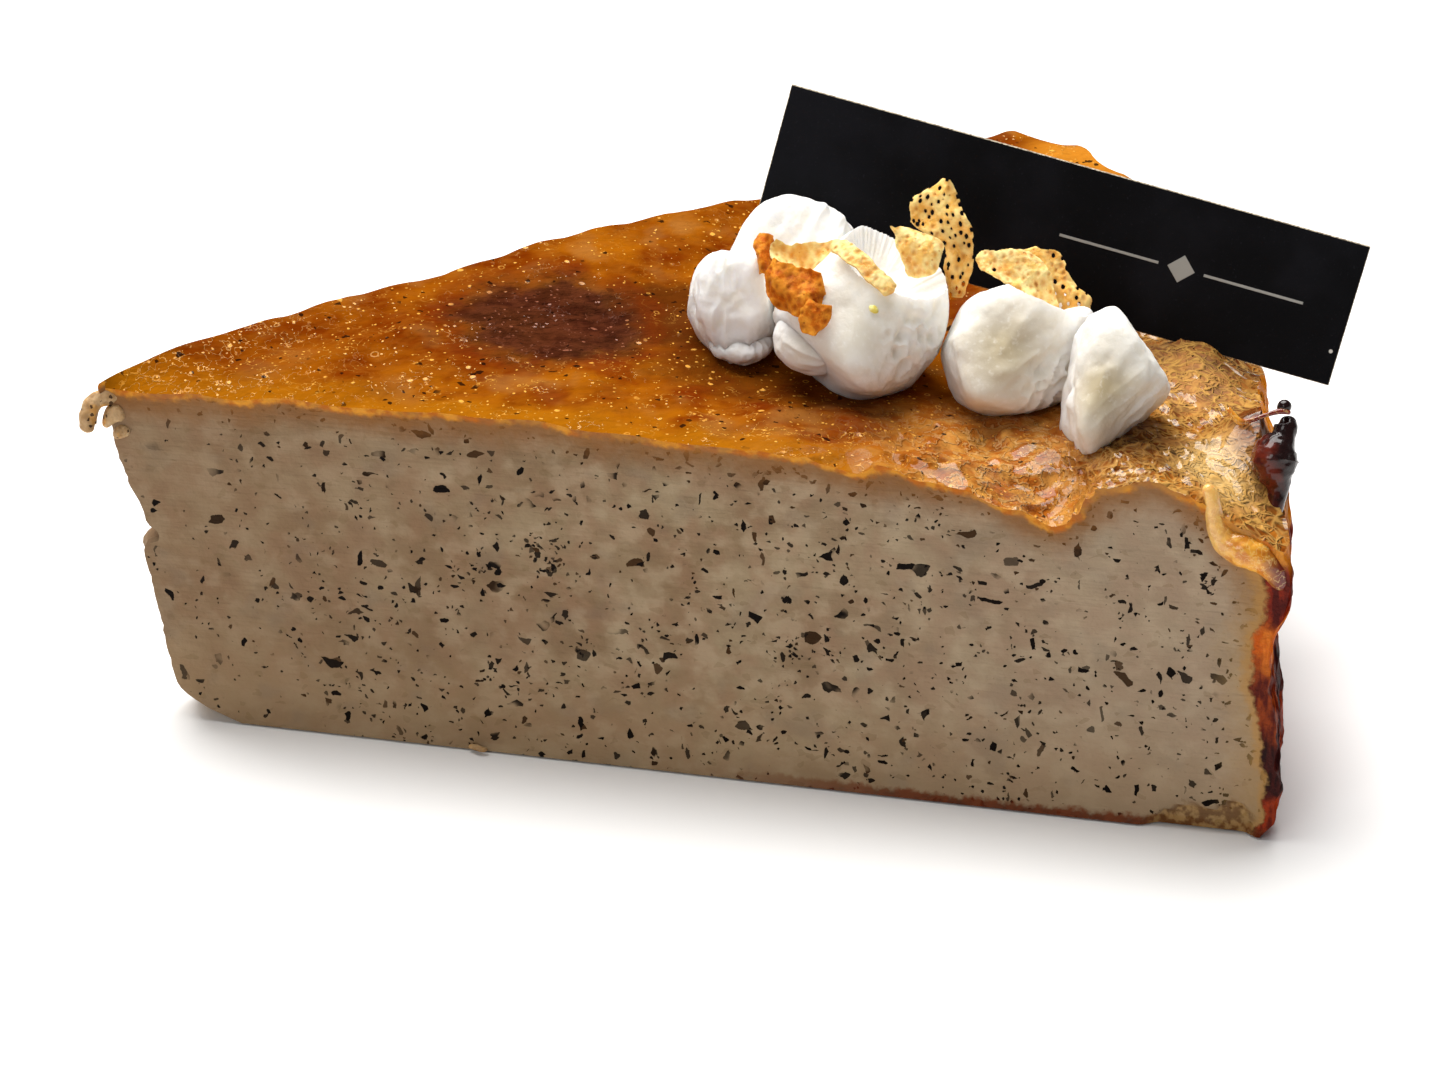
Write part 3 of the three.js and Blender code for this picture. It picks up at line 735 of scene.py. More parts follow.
def roll(knots, seed, rough):
    """A closed roll through knots (x, y, z, radius): rings about a cubic path, rounded off at both ends,
    with a radius that noise varies by a rough share."""
    knots = np.array(knots, float)
    order = np.arange(len(knots))
    share = np.linspace(0, len(knots) - 1, ROLL_STEPS + 1)
    x, y, z, radius = (curve(np.stack([order, knots[:, k]], axis=1), share) for k in range(4))
    path = np.stack([x, y, z], axis=1)
    run = np.concatenate([[0], np.cumsum(np.linalg.norm(np.diff(path, axis=0), axis=1))])
    from_end = np.minimum(run, run[-1] - run) / radius
    radius = radius * np.sqrt(1 - (1 - np.clip(from_end, 0, 1)) ** 2)
    ahead = np.gradient(path, axis=0)
    ahead /= np.linalg.norm(ahead, axis=1, keepdims=True)
    side = np.cross(ahead, (0.3, 0.9, 0.1))
    side /= np.linalg.norm(side, axis=1, keepdims=True)
    over = np.cross(side, ahead)
    turn = np.linspace(0, 2 * np.pi, ROLL_AROUND + 1)
    turn[-1] = 0
    outward = np.cos(turn)[:, None, None] * side + np.sin(turn)[:, None, None] * over
    spots = path + outward * radius[:, None]
    lumps = lump_noise(spots, 1.1, seed) + 0.5 * lump_noise(spots, 0.45, seed + 1)
    spots = path + outward * (radius * (1 + rough * lumps))[..., None]
    points, faces, _ = weld(spots.reshape(-1, 3), grid_faces(ROLL_AROUND + 1, ROLL_STEPS + 1))
    return points, faces


def joined(solids):
    """Several solids, each of them points and faces, as one set of points and faces."""
    faces, start = [], 0
    for points, made in solids:
        faces += [[corner + start for corner in face] for face in made]
        start += len(points)
    return np.concatenate([points for points, _ in solids]), faces


def lit_through(weight, reach, scale):
    """Shader values for a weight of light that goes in and comes out again, with its reach by colour."""
    return {"Subsurface Weight": weight, "Subsurface Radius": reach, "Subsurface Scale": scale}


burnt_gloss, place = new_finish("burnt glossy skin")
rightward = place.dot((0.9, 0.1, 0.05)) + place.sway(3, 1.2, 3, 5)
colour = rightward.blend(40.2, 42.2, (104, 34, 18), (28, 7, 6))
colour = paint(colour, 1, [(place.noise(0.8, 3, 9).rise(0.5, 0.7) * 0.6, (20, 8, 8))])
close_finish(place, place.noise(0.7, 2, 3) * 0.15, {
    "Base Color": colour,
    "Roughness": 0.2 + 0.15 * place.noise(0.6, 2, 13),
    "Specular IOR Level": 0.1,
    "Coat Weight": 0.6,
    "Coat Roughness": 0.05,
})
amber_gloss, place = new_finish("amber glossy skin")
rightward = place.dot((1, 0, 0)) + place.sway(2, 1.2, 3, 5)
colour = place.noise(0.9, 3, 5).blend(0.38, 0.62, (206, 122, 18), (236, 166, 54))
colour = paint(colour, 1, [
    (rightward.fall(40.8, 43.4) * 0.4, (248, 214, 140)),
    (rightward.rise(44.6, 46.6), (112, 34, 12)),
    (lines(place.noise(0.8, 2, 25), 0.03) * 0.35, (250, 216, 140)),
])
close_finish(place, place.noise(0.6, 3, 3) * 0.15, {
    "Base Color": colour,
    "Roughness": 0.35 + 0.15 * place.noise(0.6, 2, 13),
    "Specular IOR Level": 0.15,
    "Coat Weight": 0.9,
    "Coat Roughness": 0.06,
    **lit_through(0.25, (1, 0.6, 0.3), 0.001),
})
crumb_skin, place = new_finish("pale damp crumb")
bits, _ = leaf_bits(place, 0.3, 0.04, 3)
colour = place.noise(0.9, 3, 5).blend(0.38, 0.62, (160, 126, 86), (184, 152, 112))
colour = paint(colour, 1, [
    (place.noise(1.4, 2, 35).rise(0.52, 0.66) * 0.6, (204, 146, 62)),
    (bits * 0.9, (50, 26, 14)),
])
close_finish(place, place.noise(0.5, 3, 3) * 0.2, {
    "Base Color": colour,
    "Roughness": 0.5 + 0.15 * place.noise(0.6, 2, 13),
    "Specular IOR Level": 0.15,
    **lit_through(0.3, (1, 0.8, 0.5), 0.001),
})

yellow_finish, place = new_finish("yellow crumb")
colour = place.noise(0.5, 3, 5).blend(0.38, 0.62, (236, 214, 92), (250, 240, 170))
close_finish(place, place.noise(0.3, 2, 3) * 0.1, {
    "Base Color": colour,
    "Roughness": 0.3 + 0.2 * place.noise(0.4, 2, 13),
    **lit_through(0.3, (1, 0.9, 0.4), 0.0008),
})

LOOSE_EDGES = {
    "burnt_fold": (burnt_gloss, 301, 0.08, [
        [(49.4, -31.7, 37.6, 0.6), (49.6, -32.0, 37.0, 1.05), (49.3, -32.5, 36.0, 1.1),
         (48.8, -32.8, 35.2, 1.7), (48.3, -33.2, 34.1, 2.15), (48.3, -33.9, 32.9, 1.7),
         (48.4, -34.4, 31.8, 1.05), (48.1, -35.0, 30.4, 0.8), (47.7, -35.6, 29.0, 0.55),
         (47.5, -36.1, 28.1, 0.35)],
        [(48.8, -31.8, 38.2, 0.35), (49.4, -31.8, 38.6, 0.65), (49.9, -32.0, 38.3, 0.45)],
    ]),
    "amber_fold": (amber_gloss, 341, 0.08, [
        [(40.4, -38.9, 34.9, 0.5), (40.9, -39.1, 33.4, 0.7), (41.3, -39.3, 31.5, 0.9),
         (42.1, -39.6, 29.8, 1.3), (43.5, -40.2, 29, 1.6), (45.1, -40.9, 28.3, 1.5),
         (46.3, -41.4, 27.1, 1.1), (47.2, -41.7, 25.3, 0.7)],
        [(44.2, -31.4, 38.7, 0.2), (45.2, -32.1, 37.6, 0.3), (46.3, -32.2, 37.7, 0.22),
         (47.6, -32.2, 38.1, 0.2), (48.8, -32.3, 38.4, 0.25), (49.8, -32.5, 38.3, 0.2)],
        [(45.7, -35.8, 30.7, 0.35), (46.2, -36.3, 30, 0.6), (46.8, -36.7, 29.3, 0.5),
         (47.1, -37.1, 28.6, 0.3)],
    ]),
    "yellow_crumb": (yellow_finish, 361, 0.25, [
        [(15.0, -14.0, 42.8, 0.3), (15.2, -14.1, 43.2, 0.5), (15.4, -14.0, 43.5, 0.35)],
    ]),
    "base_curl": (crumb_skin, 371, 0.2, [
        [(-23.2, -13.3, 0.4, 0.2), (-22.6, -13.9, 0.5, 0.3), (-22.0, -14.3, 0.4, 0.25),
         (-21.6, -14.1, 0.35, 0.15)],
    ]),
    "tip_curl": (crumb_skin, 381, 0.18, [
        [(-53.2, 0.5, 33.0, 0.7), (-54.4, 0.3, 33.1, 0.8), (-55.1, 0.2, 33.1, 0.85),
         (-55.8, 0.2, 32.9, 0.85), (-56.4, 0, 32.4, 0.9), (-56.8, -0.3, 31.5, 0.85),
         (-56.8, -0.7, 30.7, 0.75), (-56.5, -0.9, 30.2, 0.4)],
        [(-53.2, -0.1, 31.8, 0.9), (-54.2, -0.2, 31.6, 0.9), (-54.9, -0.2, 31.0, 0.6),
         (-55.3, -0.3, 30.3, 0.35)],
        [(-53.0, -0.3, 30.2, 0.7), (-53.9, -0.5, 29.8, 0.6), (-54.5, -0.6, 29.3, 0.4)],
    ]),
}
for name, (finish, seed, rough, rolls) in LOOSE_EDGES.items():
    points, faces = joined([roll(knots, seed + 10 * k, rough) for k, knots in enumerate(rolls)])
    add_piece(name, points, faces, [finish], sharp=80)

# The cream: four spoonfuls of whipped double cream, each scooped and pushed off the spoon, so that its front
# is smooth, its top is hollow with a sharp lip, and its sides keep the fine ridges of the stroke.
AROUND_STEPS, RISE_STEPS = 240, 136


def direction(angle, rise):
    """The unit vector at an angle round Z and a rise above level, in degrees."""
    angle, rise = math.radians(angle), math.radians(rise)
    return np.array([math.cos(rise) * math.cos(angle), math.cos(rise) * math.sin(angle), math.sin(rise)])


def angle_to(toward, angle, rise):
    """The angle in degrees between unit vectors and the direction at an angle and a rise."""
    return np.degrees(np.arccos(np.clip(toward @ direction(angle, rise), -1, 1)))


def lesser(first, second, softness):
    """The lesser of two lengths, with the corner between them rounded over a softness."""
    near = np.clip(0.5 + 0.5 * (second - first) / softness, 0, 1)
    return mix(second, first, near) - softness * near * (1 - near)


def cream_lobe(seed, centre, size, bumps=(), cuts=(), scoops=(), strokes=(), rough=1.0):
    """An ellipsoid that grows at bumps and is held back at flat cuts and by scoops, which are balls taken out
    of it and leave a lip. Strokes add fine ridges drawn out in a direction, and rough adds small lumps."""
    around = np.linspace(0, 2 * np.pi, AROUND_STEPS + 1)
    around, rise = np.meshgrid(around, np.linspace(-np.pi / 2, np.pi / 2, RISE_STEPS + 1))
    around[:, -1] = around[:, 0]
    toward = np.stack([np.cos(rise) * np.cos(around), np.cos(rise) * np.sin(around), np.sin(rise)], axis=-1)
    reach = 1 / np.linalg.norm(toward / size, axis=-1)
    for angle, lift, height, spread in bumps:
        reach = reach * (1 + height * bell(angle_to(toward, angle, lift), spread))
    spot = toward * np.minimum(reach, 9.0)[..., None]
    wave = 0.3 * lump_noise(spot, 3.1, seed + 50) + 0.12 * lump_noise(spot, 1.5, seed + 51)
    for angle, lift, distance, softness in cuts:
        facing = np.maximum(toward @ direction(angle, lift), 0.05)
        reach = lesser(reach, (distance + rough * wave) / facing, softness)
    for angle, lift, away, radius, softness in scoops:
        middle = toward @ direction(angle, lift) * away
        inside = middle**2 - away**2 + radius**2
        entry = np.where(inside > 0, middle - np.sqrt(np.maximum(inside, 0)), 1e3)
        entry = np.where(middle > 0, np.maximum(entry, 0.3) + rough * 0.6 * wave, 1e3)
        reach = lesser(reach, entry, softness)
    spot = toward * reach[..., None]
    for angle, lift, spread, period, along, height in strokes:
        axis = direction(*along)
        drawn = spot - 0.85 * (spot @ axis)[..., None] * axis
        ridges = 1 - 2.6 * np.abs(lump_noise(drawn, period, seed))
        ridges = ridges + 0.4 * lump_noise(drawn, 0.4 * period, seed + 1)
        reach = reach + height * ridges * bell(angle_to(toward, angle, lift), spread)
    small = 0.08 * lump_noise(spot, 1.15, seed + 2) + 0.03 * lump_noise(spot, 0.45, seed + 3)
    reach = reach + rough * small
    points = (np.array(centre) + toward * reach[..., None]).reshape(-1, 3)
    points, faces, _ = weld(points, grid_faces(RISE_STEPS + 1, AROUND_STEPS + 1))
    return points, faces


cream, place = new_finish("whipped cream")
smooth_shaded_front = place.field("smooth_shaded_front")
colour = place.noise(1.8, 3, 2).blend(0.35, 0.65, (244, 242, 236), (250, 250, 248))
colour = paint(colour, 1, [
    # Painted shade: the spoon-smoothed fronts, which face away from the light above and behind, get a darker,
    # warmer grey-beige.
    (smooth_shaded_front * 0.9, (184, 166, 126)),
    (place.noise(0.5, 3, 8).rise(0.55, 0.75) * 0.3, (250, 248, 244)),
])
fluff = place.noise(0.42, 3, 5) * 0.05 + place.noise(1.3, 3, 6) * 0.14
close_finish(place, fluff * (1 - smooth_shaded_front * 0.6), {
    "Base Color": colour,
    "Roughness": 0.42 + 0.18 * place.noise(0.8, 2, 9),
    "Specular IOR Level": 0.25,
    **lit_through(0.5, (1, 0.93, 0.82), 0.0022),
})

SPOONFULS = {
    "cream_1": [
        dict(
            seed=101, centre=(4.3, -1.2, 39.4), size=(5, 5.5, 6.3), rough=1.1,
            cuts=[(179, 10, 3.8, 1), (159, 41, 4.9, 0.9), (64, 69, 4.5, 1), (-164, -21, 4, 1.2),
                (-17, 10, 3.7, 1), (-105, 14, 3.8, 1.6), (-47, -25, 4.6, 1.2)],
            strokes=[(-105, 14, 60, 1, (0, 86), 0.3)],
        ),
        dict(
            seed=106, centre=(4.7, -3.3, 35.9), size=(3.1, 3.2, 1.6),
            strokes=[(-100, -3, 70, 0.9, (0, 86), 0.2)],
        ),
        dict(
            seed=111, centre=(11.1, 3, 42.1), size=(6.6, 6.6, 6.6), rough=0.8,
            cuts=[(162, 30, 5.6, 1.2), (141, 55, 5.8, 1), (64, 69, 5.5, 1.2), (31, 53, 5.4, 1.2),
                (9, 33, 5.6, 1.2), (-106, 32, 5, 2)],
            strokes=[(-60, 45, 40, 1.5, (14, 49), 0.38), (-123, 42, 50, 1.2, (-126, -17), 0.14)],
        ),
    ],
    "cream_2": [
        dict(
            seed=121, centre=(15.2, -8.9, 40.1), size=(9, 8.6, 9.6), rough=0.5,
            cuts=[(160, 45, 6.3, 2), (-158, -29, 6.2, 2.5), (-41, -29, 7.2, 2.5), (-89, -58, 7.6, 2),
                (-15, 3, 8, 1.5), (-118, 39, 5.9, 2.5), (-65, 10, 6.2, 2.5)],
            scoops=[(-3, 64, 7.6, 5.2, 0.4)],
            strokes=[(-51, -13, 30, 0.95, (-61, -36), 0.6), (-18, 24, 24, 0.9, (28, 59), 0.15)],
        ),
        dict(
            seed=126, centre=(11.1, -8.9, 38.3), size=(4.3, 4.3, 3.2),
            strokes=[(-125, -9, 50, 1.1, (-41, -19), 0.2)],
        ),
    ],
    "cream_3": [
        dict(
            seed=131, centre=(28.4, -14.1, 38.6), size=(8, 8, 8.5), rough=0.7,
            cuts=[(111, 60, 5.5, 0.8), (-177, 0, 6.3, 1.8), (162, 29, 5.3, 1.2), (-176, -13, 6.3, 1.6),
                (-119, -57, 6.7, 1.8), (-60, -51, 6.5, 1.5), (-33, -30, 7.4, 1), (-10, 13, 7.7, 1),
                (-121, 36, 4.8, 2), (-69, 5, 4.9, 2), (80, -26, 5, 1.5)],
            scoops=[(16, 57, 8.1, 5, 0.6)],
            strokes=[(-59, -17, 34, 0.95, (-31, 30), 0.5), (-18, 24, 26, 0.9, (26, 68), 0.3)],
        ),
        dict(
            seed=136, centre=(33.9, -14, 39.2), size=(2.3, 2.2, 2.4), rough=0.6,
            bumps=[(12, 48, 0.3, 26)],
            strokes=[(-53, 0, 40, 0.8, (9, 57), 0.18)],
        ),
    ],
    "cream_4": [
        dict(
            seed=141, centre=(35.3, -23.2, 38), size=(7.5, 7.5, 9.5), rough=0.9,
            cuts=[(2, 34, 4.7, 1.4), (-48, -32, 3.9, 1.8), (-170, -12, 4.6, 2), (172, 11, 3.3, 1.8),
                (-100, -58, 7.5, 1.2), (137, 48, 6.2, 1.4), (-121, 36, 4.1, 2.4), (-73, 3, 4.2, 2.4),
                (80, -20, 4.2, 1), (61, 41, 6.8, 0.7)],
            strokes=[(-60, -15, 34, 0.9, (-166, -39), 0.4)],
        ),
    ],
}
# Painted shade on the fronts that face away from the light: a share for each spoonful and a spread about one
# direction from each lobe's centre. The same share also smooths the fluff.
SHADED_FRONT_WAY, SHADED_FRONT_SPREAD = (-112, 20), 50
SHADED_FRONT_SHARE = {"cream_1": 0.0, "cream_2": 0.45, "cream_3": 0.95, "cream_4": 1.0}
for name, lobes in SPOONFULS.items():
    solids = [cream_lobe(**lobe) for lobe in lobes]
    points, faces = joined(solids)
    outward = np.concatenate([spots - lobe["centre"] for (spots, _), lobe in zip(solids, lobes)])
    outward = outward / np.linalg.norm(outward, axis=1, keepdims=True)
    smooth_shaded_front = SHADED_FRONT_SHARE[name] * bell(angle_to(outward, *SHADED_FRONT_WAY), SHADED_FRONT_SPREAD)
    add_piece(name.replace("cream", "spoonful"), points, faces, [cream], [name],
              fields={"smooth_shaded_front": smooth_shaded_front}, sharp=75)

# The flakes: crumbs of a lacy wafer, baked from a thin batter that bubbled into pits and holes, broken by
# hand and dropped on the cream, pale where thin and deep orange where thick or wet.
FLAKE_THICKNESS = 0.5
FLAKE_COLUMNS, FLAKE_ROWS = 120, 130


def turned(points, turn):
    """The points rolled about Y, then leant about X, then yawed about Z, in degrees."""
    lean, roll, yaw = (math.radians(t) for t in turn)
    pose = Matrix.Rotation(yaw, 3, "Z") @ Matrix.Rotation(lean, 3, "X") @ Matrix.Rotation(roll, 3, "Y")
    return points @ np.array(pose).T


def lacy_flake(seed, centre, turn, height, left, right, bend, wave, crumple=0.2, pitch=1, open_share=0.5):
    """A sheet between two edge curves, bent both ways and crumpled, with rows of pits that go through where
    chance says so, a rough skin and a nibbled outline. Its two faces are joined by walls."""
    a, b = np.meshgrid(np.linspace(-1, 1, FLAKE_COLUMNS + 1), np.linspace(-1, 1, FLAKE_ROWS + 1))
    across = mix(curve(left, b), curve(right, b), (a + 1) / 2)
    up = 0.5 * height * b
    depth = bend[0] * a * a + bend[1] * b * b
    depth = depth + crumple * np.sin(3.2 * a + 2.6 * b + wave)
    depth = depth + 1.6 * crumple * grain(across / 1.9, up / 1.9, wave, seed + 7)
    chance = np.random.default_rng(seed)
    pits = np.zeros(a.shape)
    through = np.zeros(a.shape)
    reach = 0.5 * height + 1
    for row in np.arange(-reach, reach, pitch * 0.87):
        for spot in np.arange(-7, 7, pitch):
            x = spot + 0.5 * pitch * (round(row / (pitch * 0.87)) % 2) + chance.uniform(-0.28, 0.28)
            z = row + chance.uniform(-0.28, 0.28)
            size = chance.uniform(0.5, 1.25)
            away = np.hypot((across - x) / (0.2 * size * pitch), (up - z) / (0.27 * size * pitch))
            pits = np.maximum(pits, bell(away, 1.25))
            if chance.uniform() < open_share:
                through = np.maximum(through, bell(away, 1.0))
    skin = 0.14 * grain(across / 0.8, up / 0.8, 0.5, seed)
    skin = skin + 0.06 * grain(across / 0.3, up / 0.3, 2.5, seed + 1)
    thick = FLAKE_THICKNESS * (0.7 + 0.25 * grain(across / 0.9, up / 0.9, 4.5, seed + 2)) * (1 - 0.65 * pits)
    faces_points = [
        np.stack([across, depth + skin + side * 0.5 * thick, up], axis=-1).reshape(-1, 3) for side in (-1, 1)
    ]
    from_side = np.minimum(1 - a, 1 + a) * 0.5 * (curve(right, b) - curve(left, b))
    border = np.minimum(from_side, 0.5 * height * (1 - np.abs(b)))
    nibble = border + 0.16 * grain(across / 0.45, up / 0.45, 6.5, seed + 3)
    nibble = nibble + 0.22 * grain(across / 1.3, up / 1.3, 6.5, seed + 4)
    stays = (through < 0.6) & (nibble > 0.12)
    cell = stays[:-1, :-1] & stays[1:, :-1] & stays[:-1, 1:] & stays[1:, 1:]
    quads = grid_faces(FLAKE_ROWS + 1, FLAKE_COLUMNS + 1)[cell.ravel()]
    count = a.size
    padded = np.pad(cell, 1)
    inner = padded[1:-1, 1:-1]
    walls = []
    for step, first, second in (((-1, 0), 0, 1), ((0, 1), 1, 2), ((1, 0), 2, 3), ((0, -1), 3, 0)):
        beside = np.roll(padded, (-step[0], -step[1]), (0, 1))[1:-1, 1:-1]
        chosen = (inner & ~beside)[cell]
        p, q = quads[chosen, first], quads[chosen, second]
        walls.append(np.stack([q, p, p + count, q + count], axis=1))
    faces = np.concatenate([quads, quads[:, ::-1] + count, *walls])
    used, small = np.unique(faces, return_inverse=True)
    points = np.concatenate(faces_points)[used]
    pit, edge = (np.tile(value.ravel(), 2)[used] for value in (pits, border))
    return np.array(centre) + turned(points, turn), small.reshape(faces.shape), pit, edge


def wafer_finish(name, pale, golden, deep):
    """Baked batter: three tones by noise and by the pits, a rough skin, and a little light through it."""
    material, place = new_finish(name)
    pit, edge = place.field("pit"), place.field("edge")
    pores = dots(place, 0.62, 0.06, 0.13, 0.6, 3)
    colour = paint(place.noise(1.2, 3, 5).blend(0.36, 0.64, golden, pale), 1, [
        (place.noise(2.6, 3, 45).rise(0.5, 0.7) * 0.6, deep),
        (lines(place.noise(0.7, 2, 15), 0.03) * 0.4, pale),
        (edge.fall(0.1, 0.5) * 0.5, pale),
        (pit * 0.65, deep),
        (pores * 0.6, deep),
    ])
    relief = place.noise(0.35, 3, 3) * 0.12 + place.noise(0.9, 3, 13) * 0.2 - pores * 0.08
    close_finish(place, relief, {
        "Base Color": colour,
        "Roughness": 0.5 + 0.25 * place.noise(0.6, 2, 23),
        "Specular IOR Level": 0.1,
        **lit_through(0.2, (1, 0.6, 0.3), 0.0008),
    })
    return material


pale_wafer = wafer_finish("pale wafer", (252, 228, 160), (240, 192, 104), (208, 130, 42))
brown_wafer = wafer_finish("brown wafer", (255, 218, 140), (246, 184, 88), (180, 104, 32))
wet_wafer = wafer_finish("wet orange wafer", (230, 150, 44), (192, 96, 8), (134, 54, 4))
FLAKES = {
    "flake_1": (wet_wafer, dict(
        centre=(6.5, -4.1, 45.2), turn=(-26, 6, -20), height=4.0, bend=(0.9, 0.3), wave=0.4,
        crumple=0.4, open_share=0,
        left=[(-1, -0.2), (-0.3, -0.5), (0.4, -1.1), (1, -0.7)],
        right=[(-1, 1.2), (-0.3, 1.5), (0.4, 1.2), (1, 0.7)])),
    "flake_2": (pale_wafer, dict(
        centre=(9.9, -5.4, 44.7), turn=(-52, 4, -10), height=3.4, bend=(-0.9, -0.8), wave=1.9,
        crumple=0.35, open_share=0,
        left=[(-1, -1.6), (0, -3.0), (1, -2.4)],
        right=[(-1, 1.8), (0, 3.1), (1, 3.0)])),
    "flake_3": (wet_wafer, dict(
        centre=(8.1, -11.1, 44.4), turn=(-22, 8, -30), height=4.6, bend=(0.4, 0.3), wave=5.2,
        crumple=0.55, open_share=0,
        left=[(-1, -0.8), (-0.4, -2.4), (0.2, -3.1), (1, -2.5)],
        right=[(-1, 1.6), (-0.4, 3.0), (0.2, 3.0), (1, 2.2)])),
    "flake_4": (wet_wafer, dict(
        centre=(9.5, -13.9, 42.6), turn=(-22, 10, -30), height=3.3, bend=(0.3, 0.2), wave=3.1,
        crumple=0.15, open_share=0,
        left=[(-1, -0.6), (0, -1.5), (1, -1.0)],
        right=[(-1, 0.8), (0, 1.6), (1, 1.3)])),
    "flake_5": (brown_wafer, dict(
        centre=(23.8, -6.0, 46.3), turn=(-20, 2, -14), height=11.4, bend=(0.7, 0.9), wave=0.9,
        crumple=0.3, pitch=0.88, open_share=0.85,
        left=[(-1, 0.5), (-0.52, -0.3), (-0.12, -0.5), (0.06, -2.2), (0.22, -3.5), (0.4, -3.8),
              (0.56, -3.8), (0.72, -3), (0.87, -1.7), (1, -0.8)],
        right=[(-1, 2), (-0.5, 2.7), (-0.1, 2.7), (0.2, 2.5), (0.4, 1.7), (0.6, 1.1),
               (0.8, 0.6), (1, -0.1)])),
    "flake_6": (pale_wafer, dict(
        centre=(14.6, -12.0, 46.8), turn=(-50, 44, -12), height=1.9, bend=(0.7, 0), wave=2.2,
        crumple=0.1, open_share=0,
        left=[(-1, -3.4), (0, -4.0), (1, -3.2)],
        right=[(-1, 3.4), (0, 4), (1, 3.4)])),
    "flake_7": (pale_wafer, dict(
        centre=(20.5, -8.0, 46.0), turn=(-30, 4, -14), height=4.8, bend=(0.4, 0.4), wave=4,
        crumple=0.15, pitch=0.95, open_share=0,
        left=[(-1, -0.7), (-0.7, -1), (0, -1.9), (0.6, -2.6), (1, -2.9)],
        right=[(-1, 0.2), (-0.7, 2), (0, 2.3), (0.6, 2.2), (1, -1.2)])),
    "flake_8": (pale_wafer, dict(
        centre=(28.4, -11.9, 43.6), turn=(-40, 2, -14), height=7.6, bend=(0.4, 0.5), wave=1.2,
        crumple=0.25, pitch=0.9, open_share=0.12,
        left=[(-1, 3.6), (-0.7, 2.4), (-0.4, 1.4), (0, 0), (0.4, -2.8), (0.7, -3.4), (1, -3)],
        right=[(-1, 4.8), (-0.7, 5.2), (-0.4, 4.9), (0, 4.4), (0.4, 3.9), (0.7, 3.3), (1, 1.6)])),
    "flake_9": (brown_wafer, dict(
        centre=(33.3, -10.8, 43.2), turn=(-24, 4, -14), height=6.6, bend=(0.7, 0.5), wave=5,
        crumple=0.25, pitch=0.88, open_share=0.6,
        left=[(-1, -0.3), (-0.6, -1.3), (-0.3, -1.9), (0, -2.5), (0.4, -3.5), (0.75, -3.9), (1, -2.2)],
        right=[(-1, 3.3), (-0.6, 3.5), (-0.3, 3.4), (0, 1.9), (0.4, 0.9), (0.75, 0.4), (1, -0.6)])),
}
for number, (name, (finish, shape)) in enumerate(FLAKES.items()):
    points, faces, pits, edge = lacy_flake(seed=200 + 10 * number, **shape)
    add_piece(name.replace("flake", "wafer"), points, faces.tolist(), [finish], [name],
              fields={"pit": pits, "edge": edge}, sharp=60)

# The card: a strip of black card with a pale core, cut with a blade and stood on edge behind the cream,
# where it leans back on the rim. Its face is satin, with a plain silver rule and lozenge.
CARD_WIDTH, CARD_HEIGHT, CARD_THICKNESS = 57.3, 13.9, 0.5
CARD_CENTRE = (36.4, 0.6, 43.3)
CARD_TURN = (-15, 13.4, -16)
CARD_BEVEL = 0.07
CARD_COLUMNS, CARD_ROWS = 120, 30
PRINT_MIDDLE, CHIP_PLACE = 12.0, (27.9, -3.7)


def card_points(inset, side):
    """A sheet in X and Z, inset at its border, a share of half the thickness out, and bowed very slightly."""
    a, b = np.meshgrid(np.linspace(-1, 1, CARD_COLUMNS + 1), np.linspace(-1, 1, CARD_ROWS + 1))
    across, up = a * (0.5 * CARD_WIDTH - inset), b * (0.5 * CARD_HEIGHT - inset)
    bow = 0.12 * np.cos(1.5 * a) - 0.05 + 0.04 * a * b
    return np.stack([across, bow + side * 0.5 * CARD_THICKNESS, up], axis=-1)


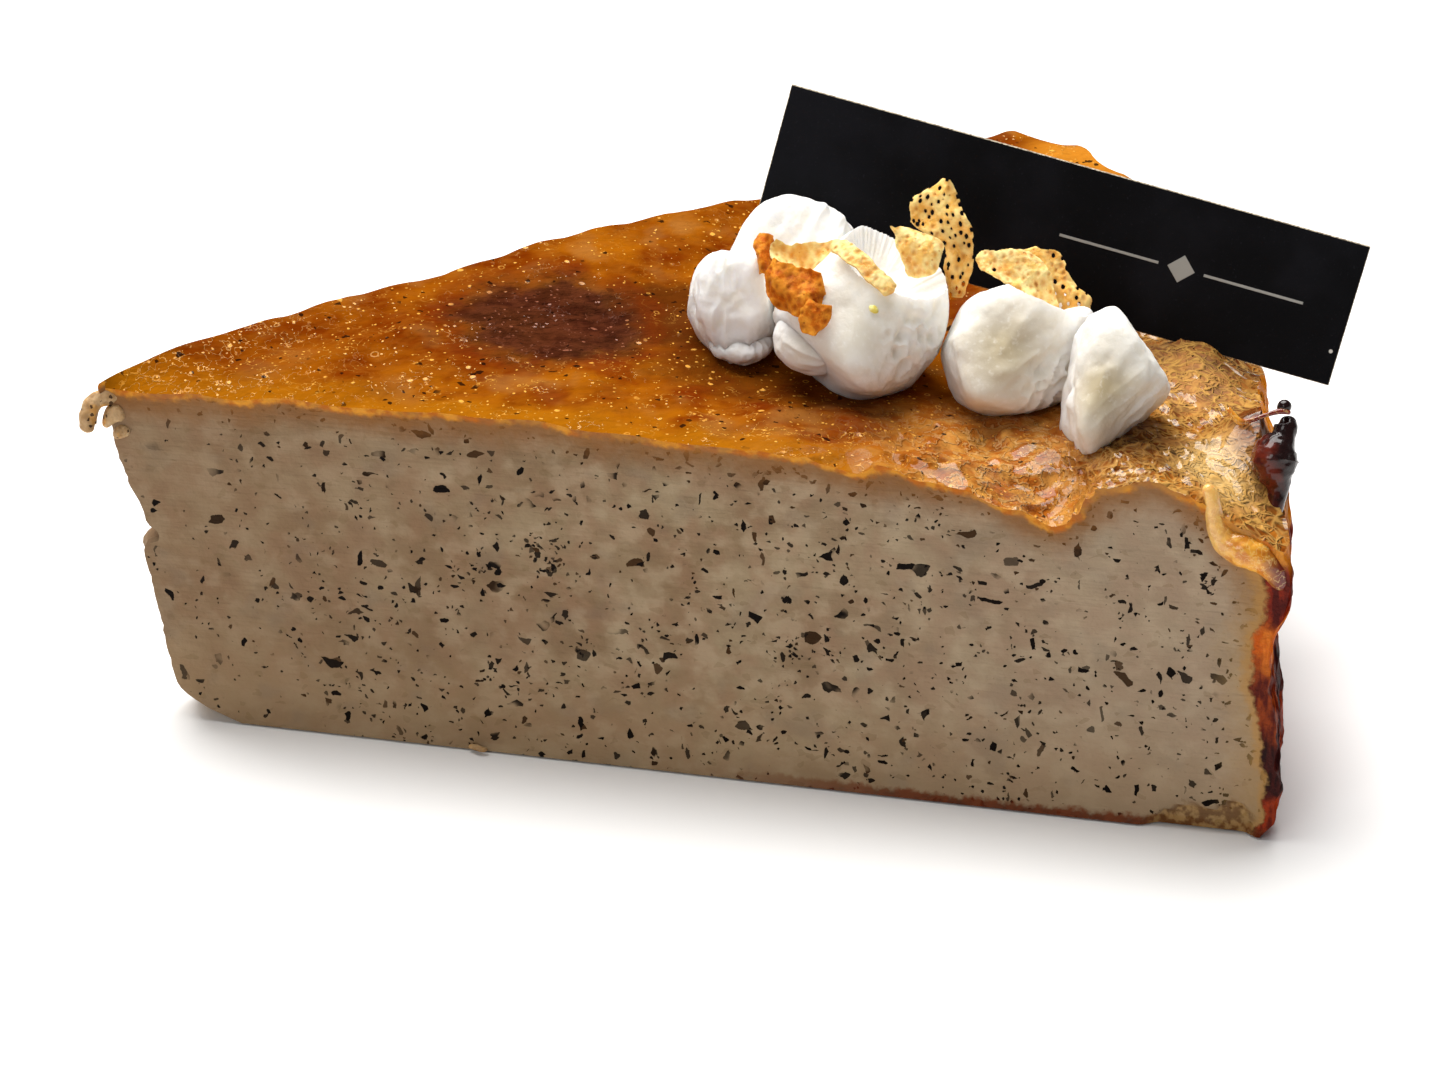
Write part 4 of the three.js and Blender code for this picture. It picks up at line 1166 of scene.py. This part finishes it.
front, back = card_points(CARD_BEVEL, -1), card_points(CARD_BEVEL, 1)
sheets = front, card_points(0, -0.7), card_points(0, 0.7), back
ring_rows = np.stack([np.concatenate([s[0, :-1], s[:-1, -1], s[-1, :0:-1], s[:, 0][::-1]]) for s in sheets])
parts = [front.reshape(-1, 3), back.reshape(-1, 3), ring_rows.reshape(-1, 3)]
front_faces = grid_faces(CARD_ROWS + 1, CARD_COLUMNS + 1)
back_faces = grid_faces(CARD_ROWS + 1, CARD_COLUMNS + 1, len(parts[0]))[:, ::-1]
ring_faces = grid_faces(4, ring_rows.shape[1], len(parts[0]) + len(parts[1]))[:, ::-1]
flat, whole, solid = weld(np.concatenate(parts), np.concatenate([front_faces, back_faces, ring_faces]))
kinds = np.repeat([0, 0, 1], [len(front_faces), len(back_faces), len(ring_faces)])[solid]

black, place = new_finish("black card")
across, upward, facing = place.field("across"), place.field("upward"), place.field("facing")
from_middle = abs(across - PRINT_MIDDLE)
rule = abs(upward).fall(0.1, 0.16) * from_middle.fall(12, 12.1) * from_middle.rise(2.2, 2.3)
lozenge = (from_middle + abs(upward)).fall(1.3, 1.4)
print_share = rule.greater(lozenge) * facing
along_chip, up_chip = across - CHIP_PLACE[0], upward - CHIP_PLACE[1]
chip = (along_chip * along_chip + up_chip * up_chip).fall(0.02, 0.05) * facing
colour = place.noise(9, 3, 4).blend(0.4, 0.7, (16, 16, 18), (24, 24, 28))
colour = paint(colour, 1, [
    (place.noise(0.25, 2, 9).rise(0.62, 0.8) * 0.25, (52, 52, 58)),
    (print_share * 0.9, (176, 175, 170)),
    (chip * 0.9, (226, 222, 214)),
])
close_finish(place, place.noise(0.3, 3, 7) * 0.012 + print_share * 0.02, {
    "Base Color": colour,
    "Roughness": 0.42 + 0.15 * place.noise(2, 3, 3),
    "Specular IOR Level": 0.04,
})
core, place = new_finish("card core")
colour = place.noise(0.3, 3, 2).blend(0.4, 0.6, (120, 104, 84), (196, 184, 160))
close_finish(place, place.noise(0.2, 2, 3) * 0.05, {"Base Color": colour, "Roughness": 0.8})
points = np.array(CARD_CENTRE) + turned(flat, CARD_TURN)
add_piece(
    "black_card", points, whole, [black, core], ["card"], kinds,
    {"across": flat[:, 0], "upward": flat[:, 2], "facing": (flat[:, 1] < 0).astype(float)}, sharp=30)
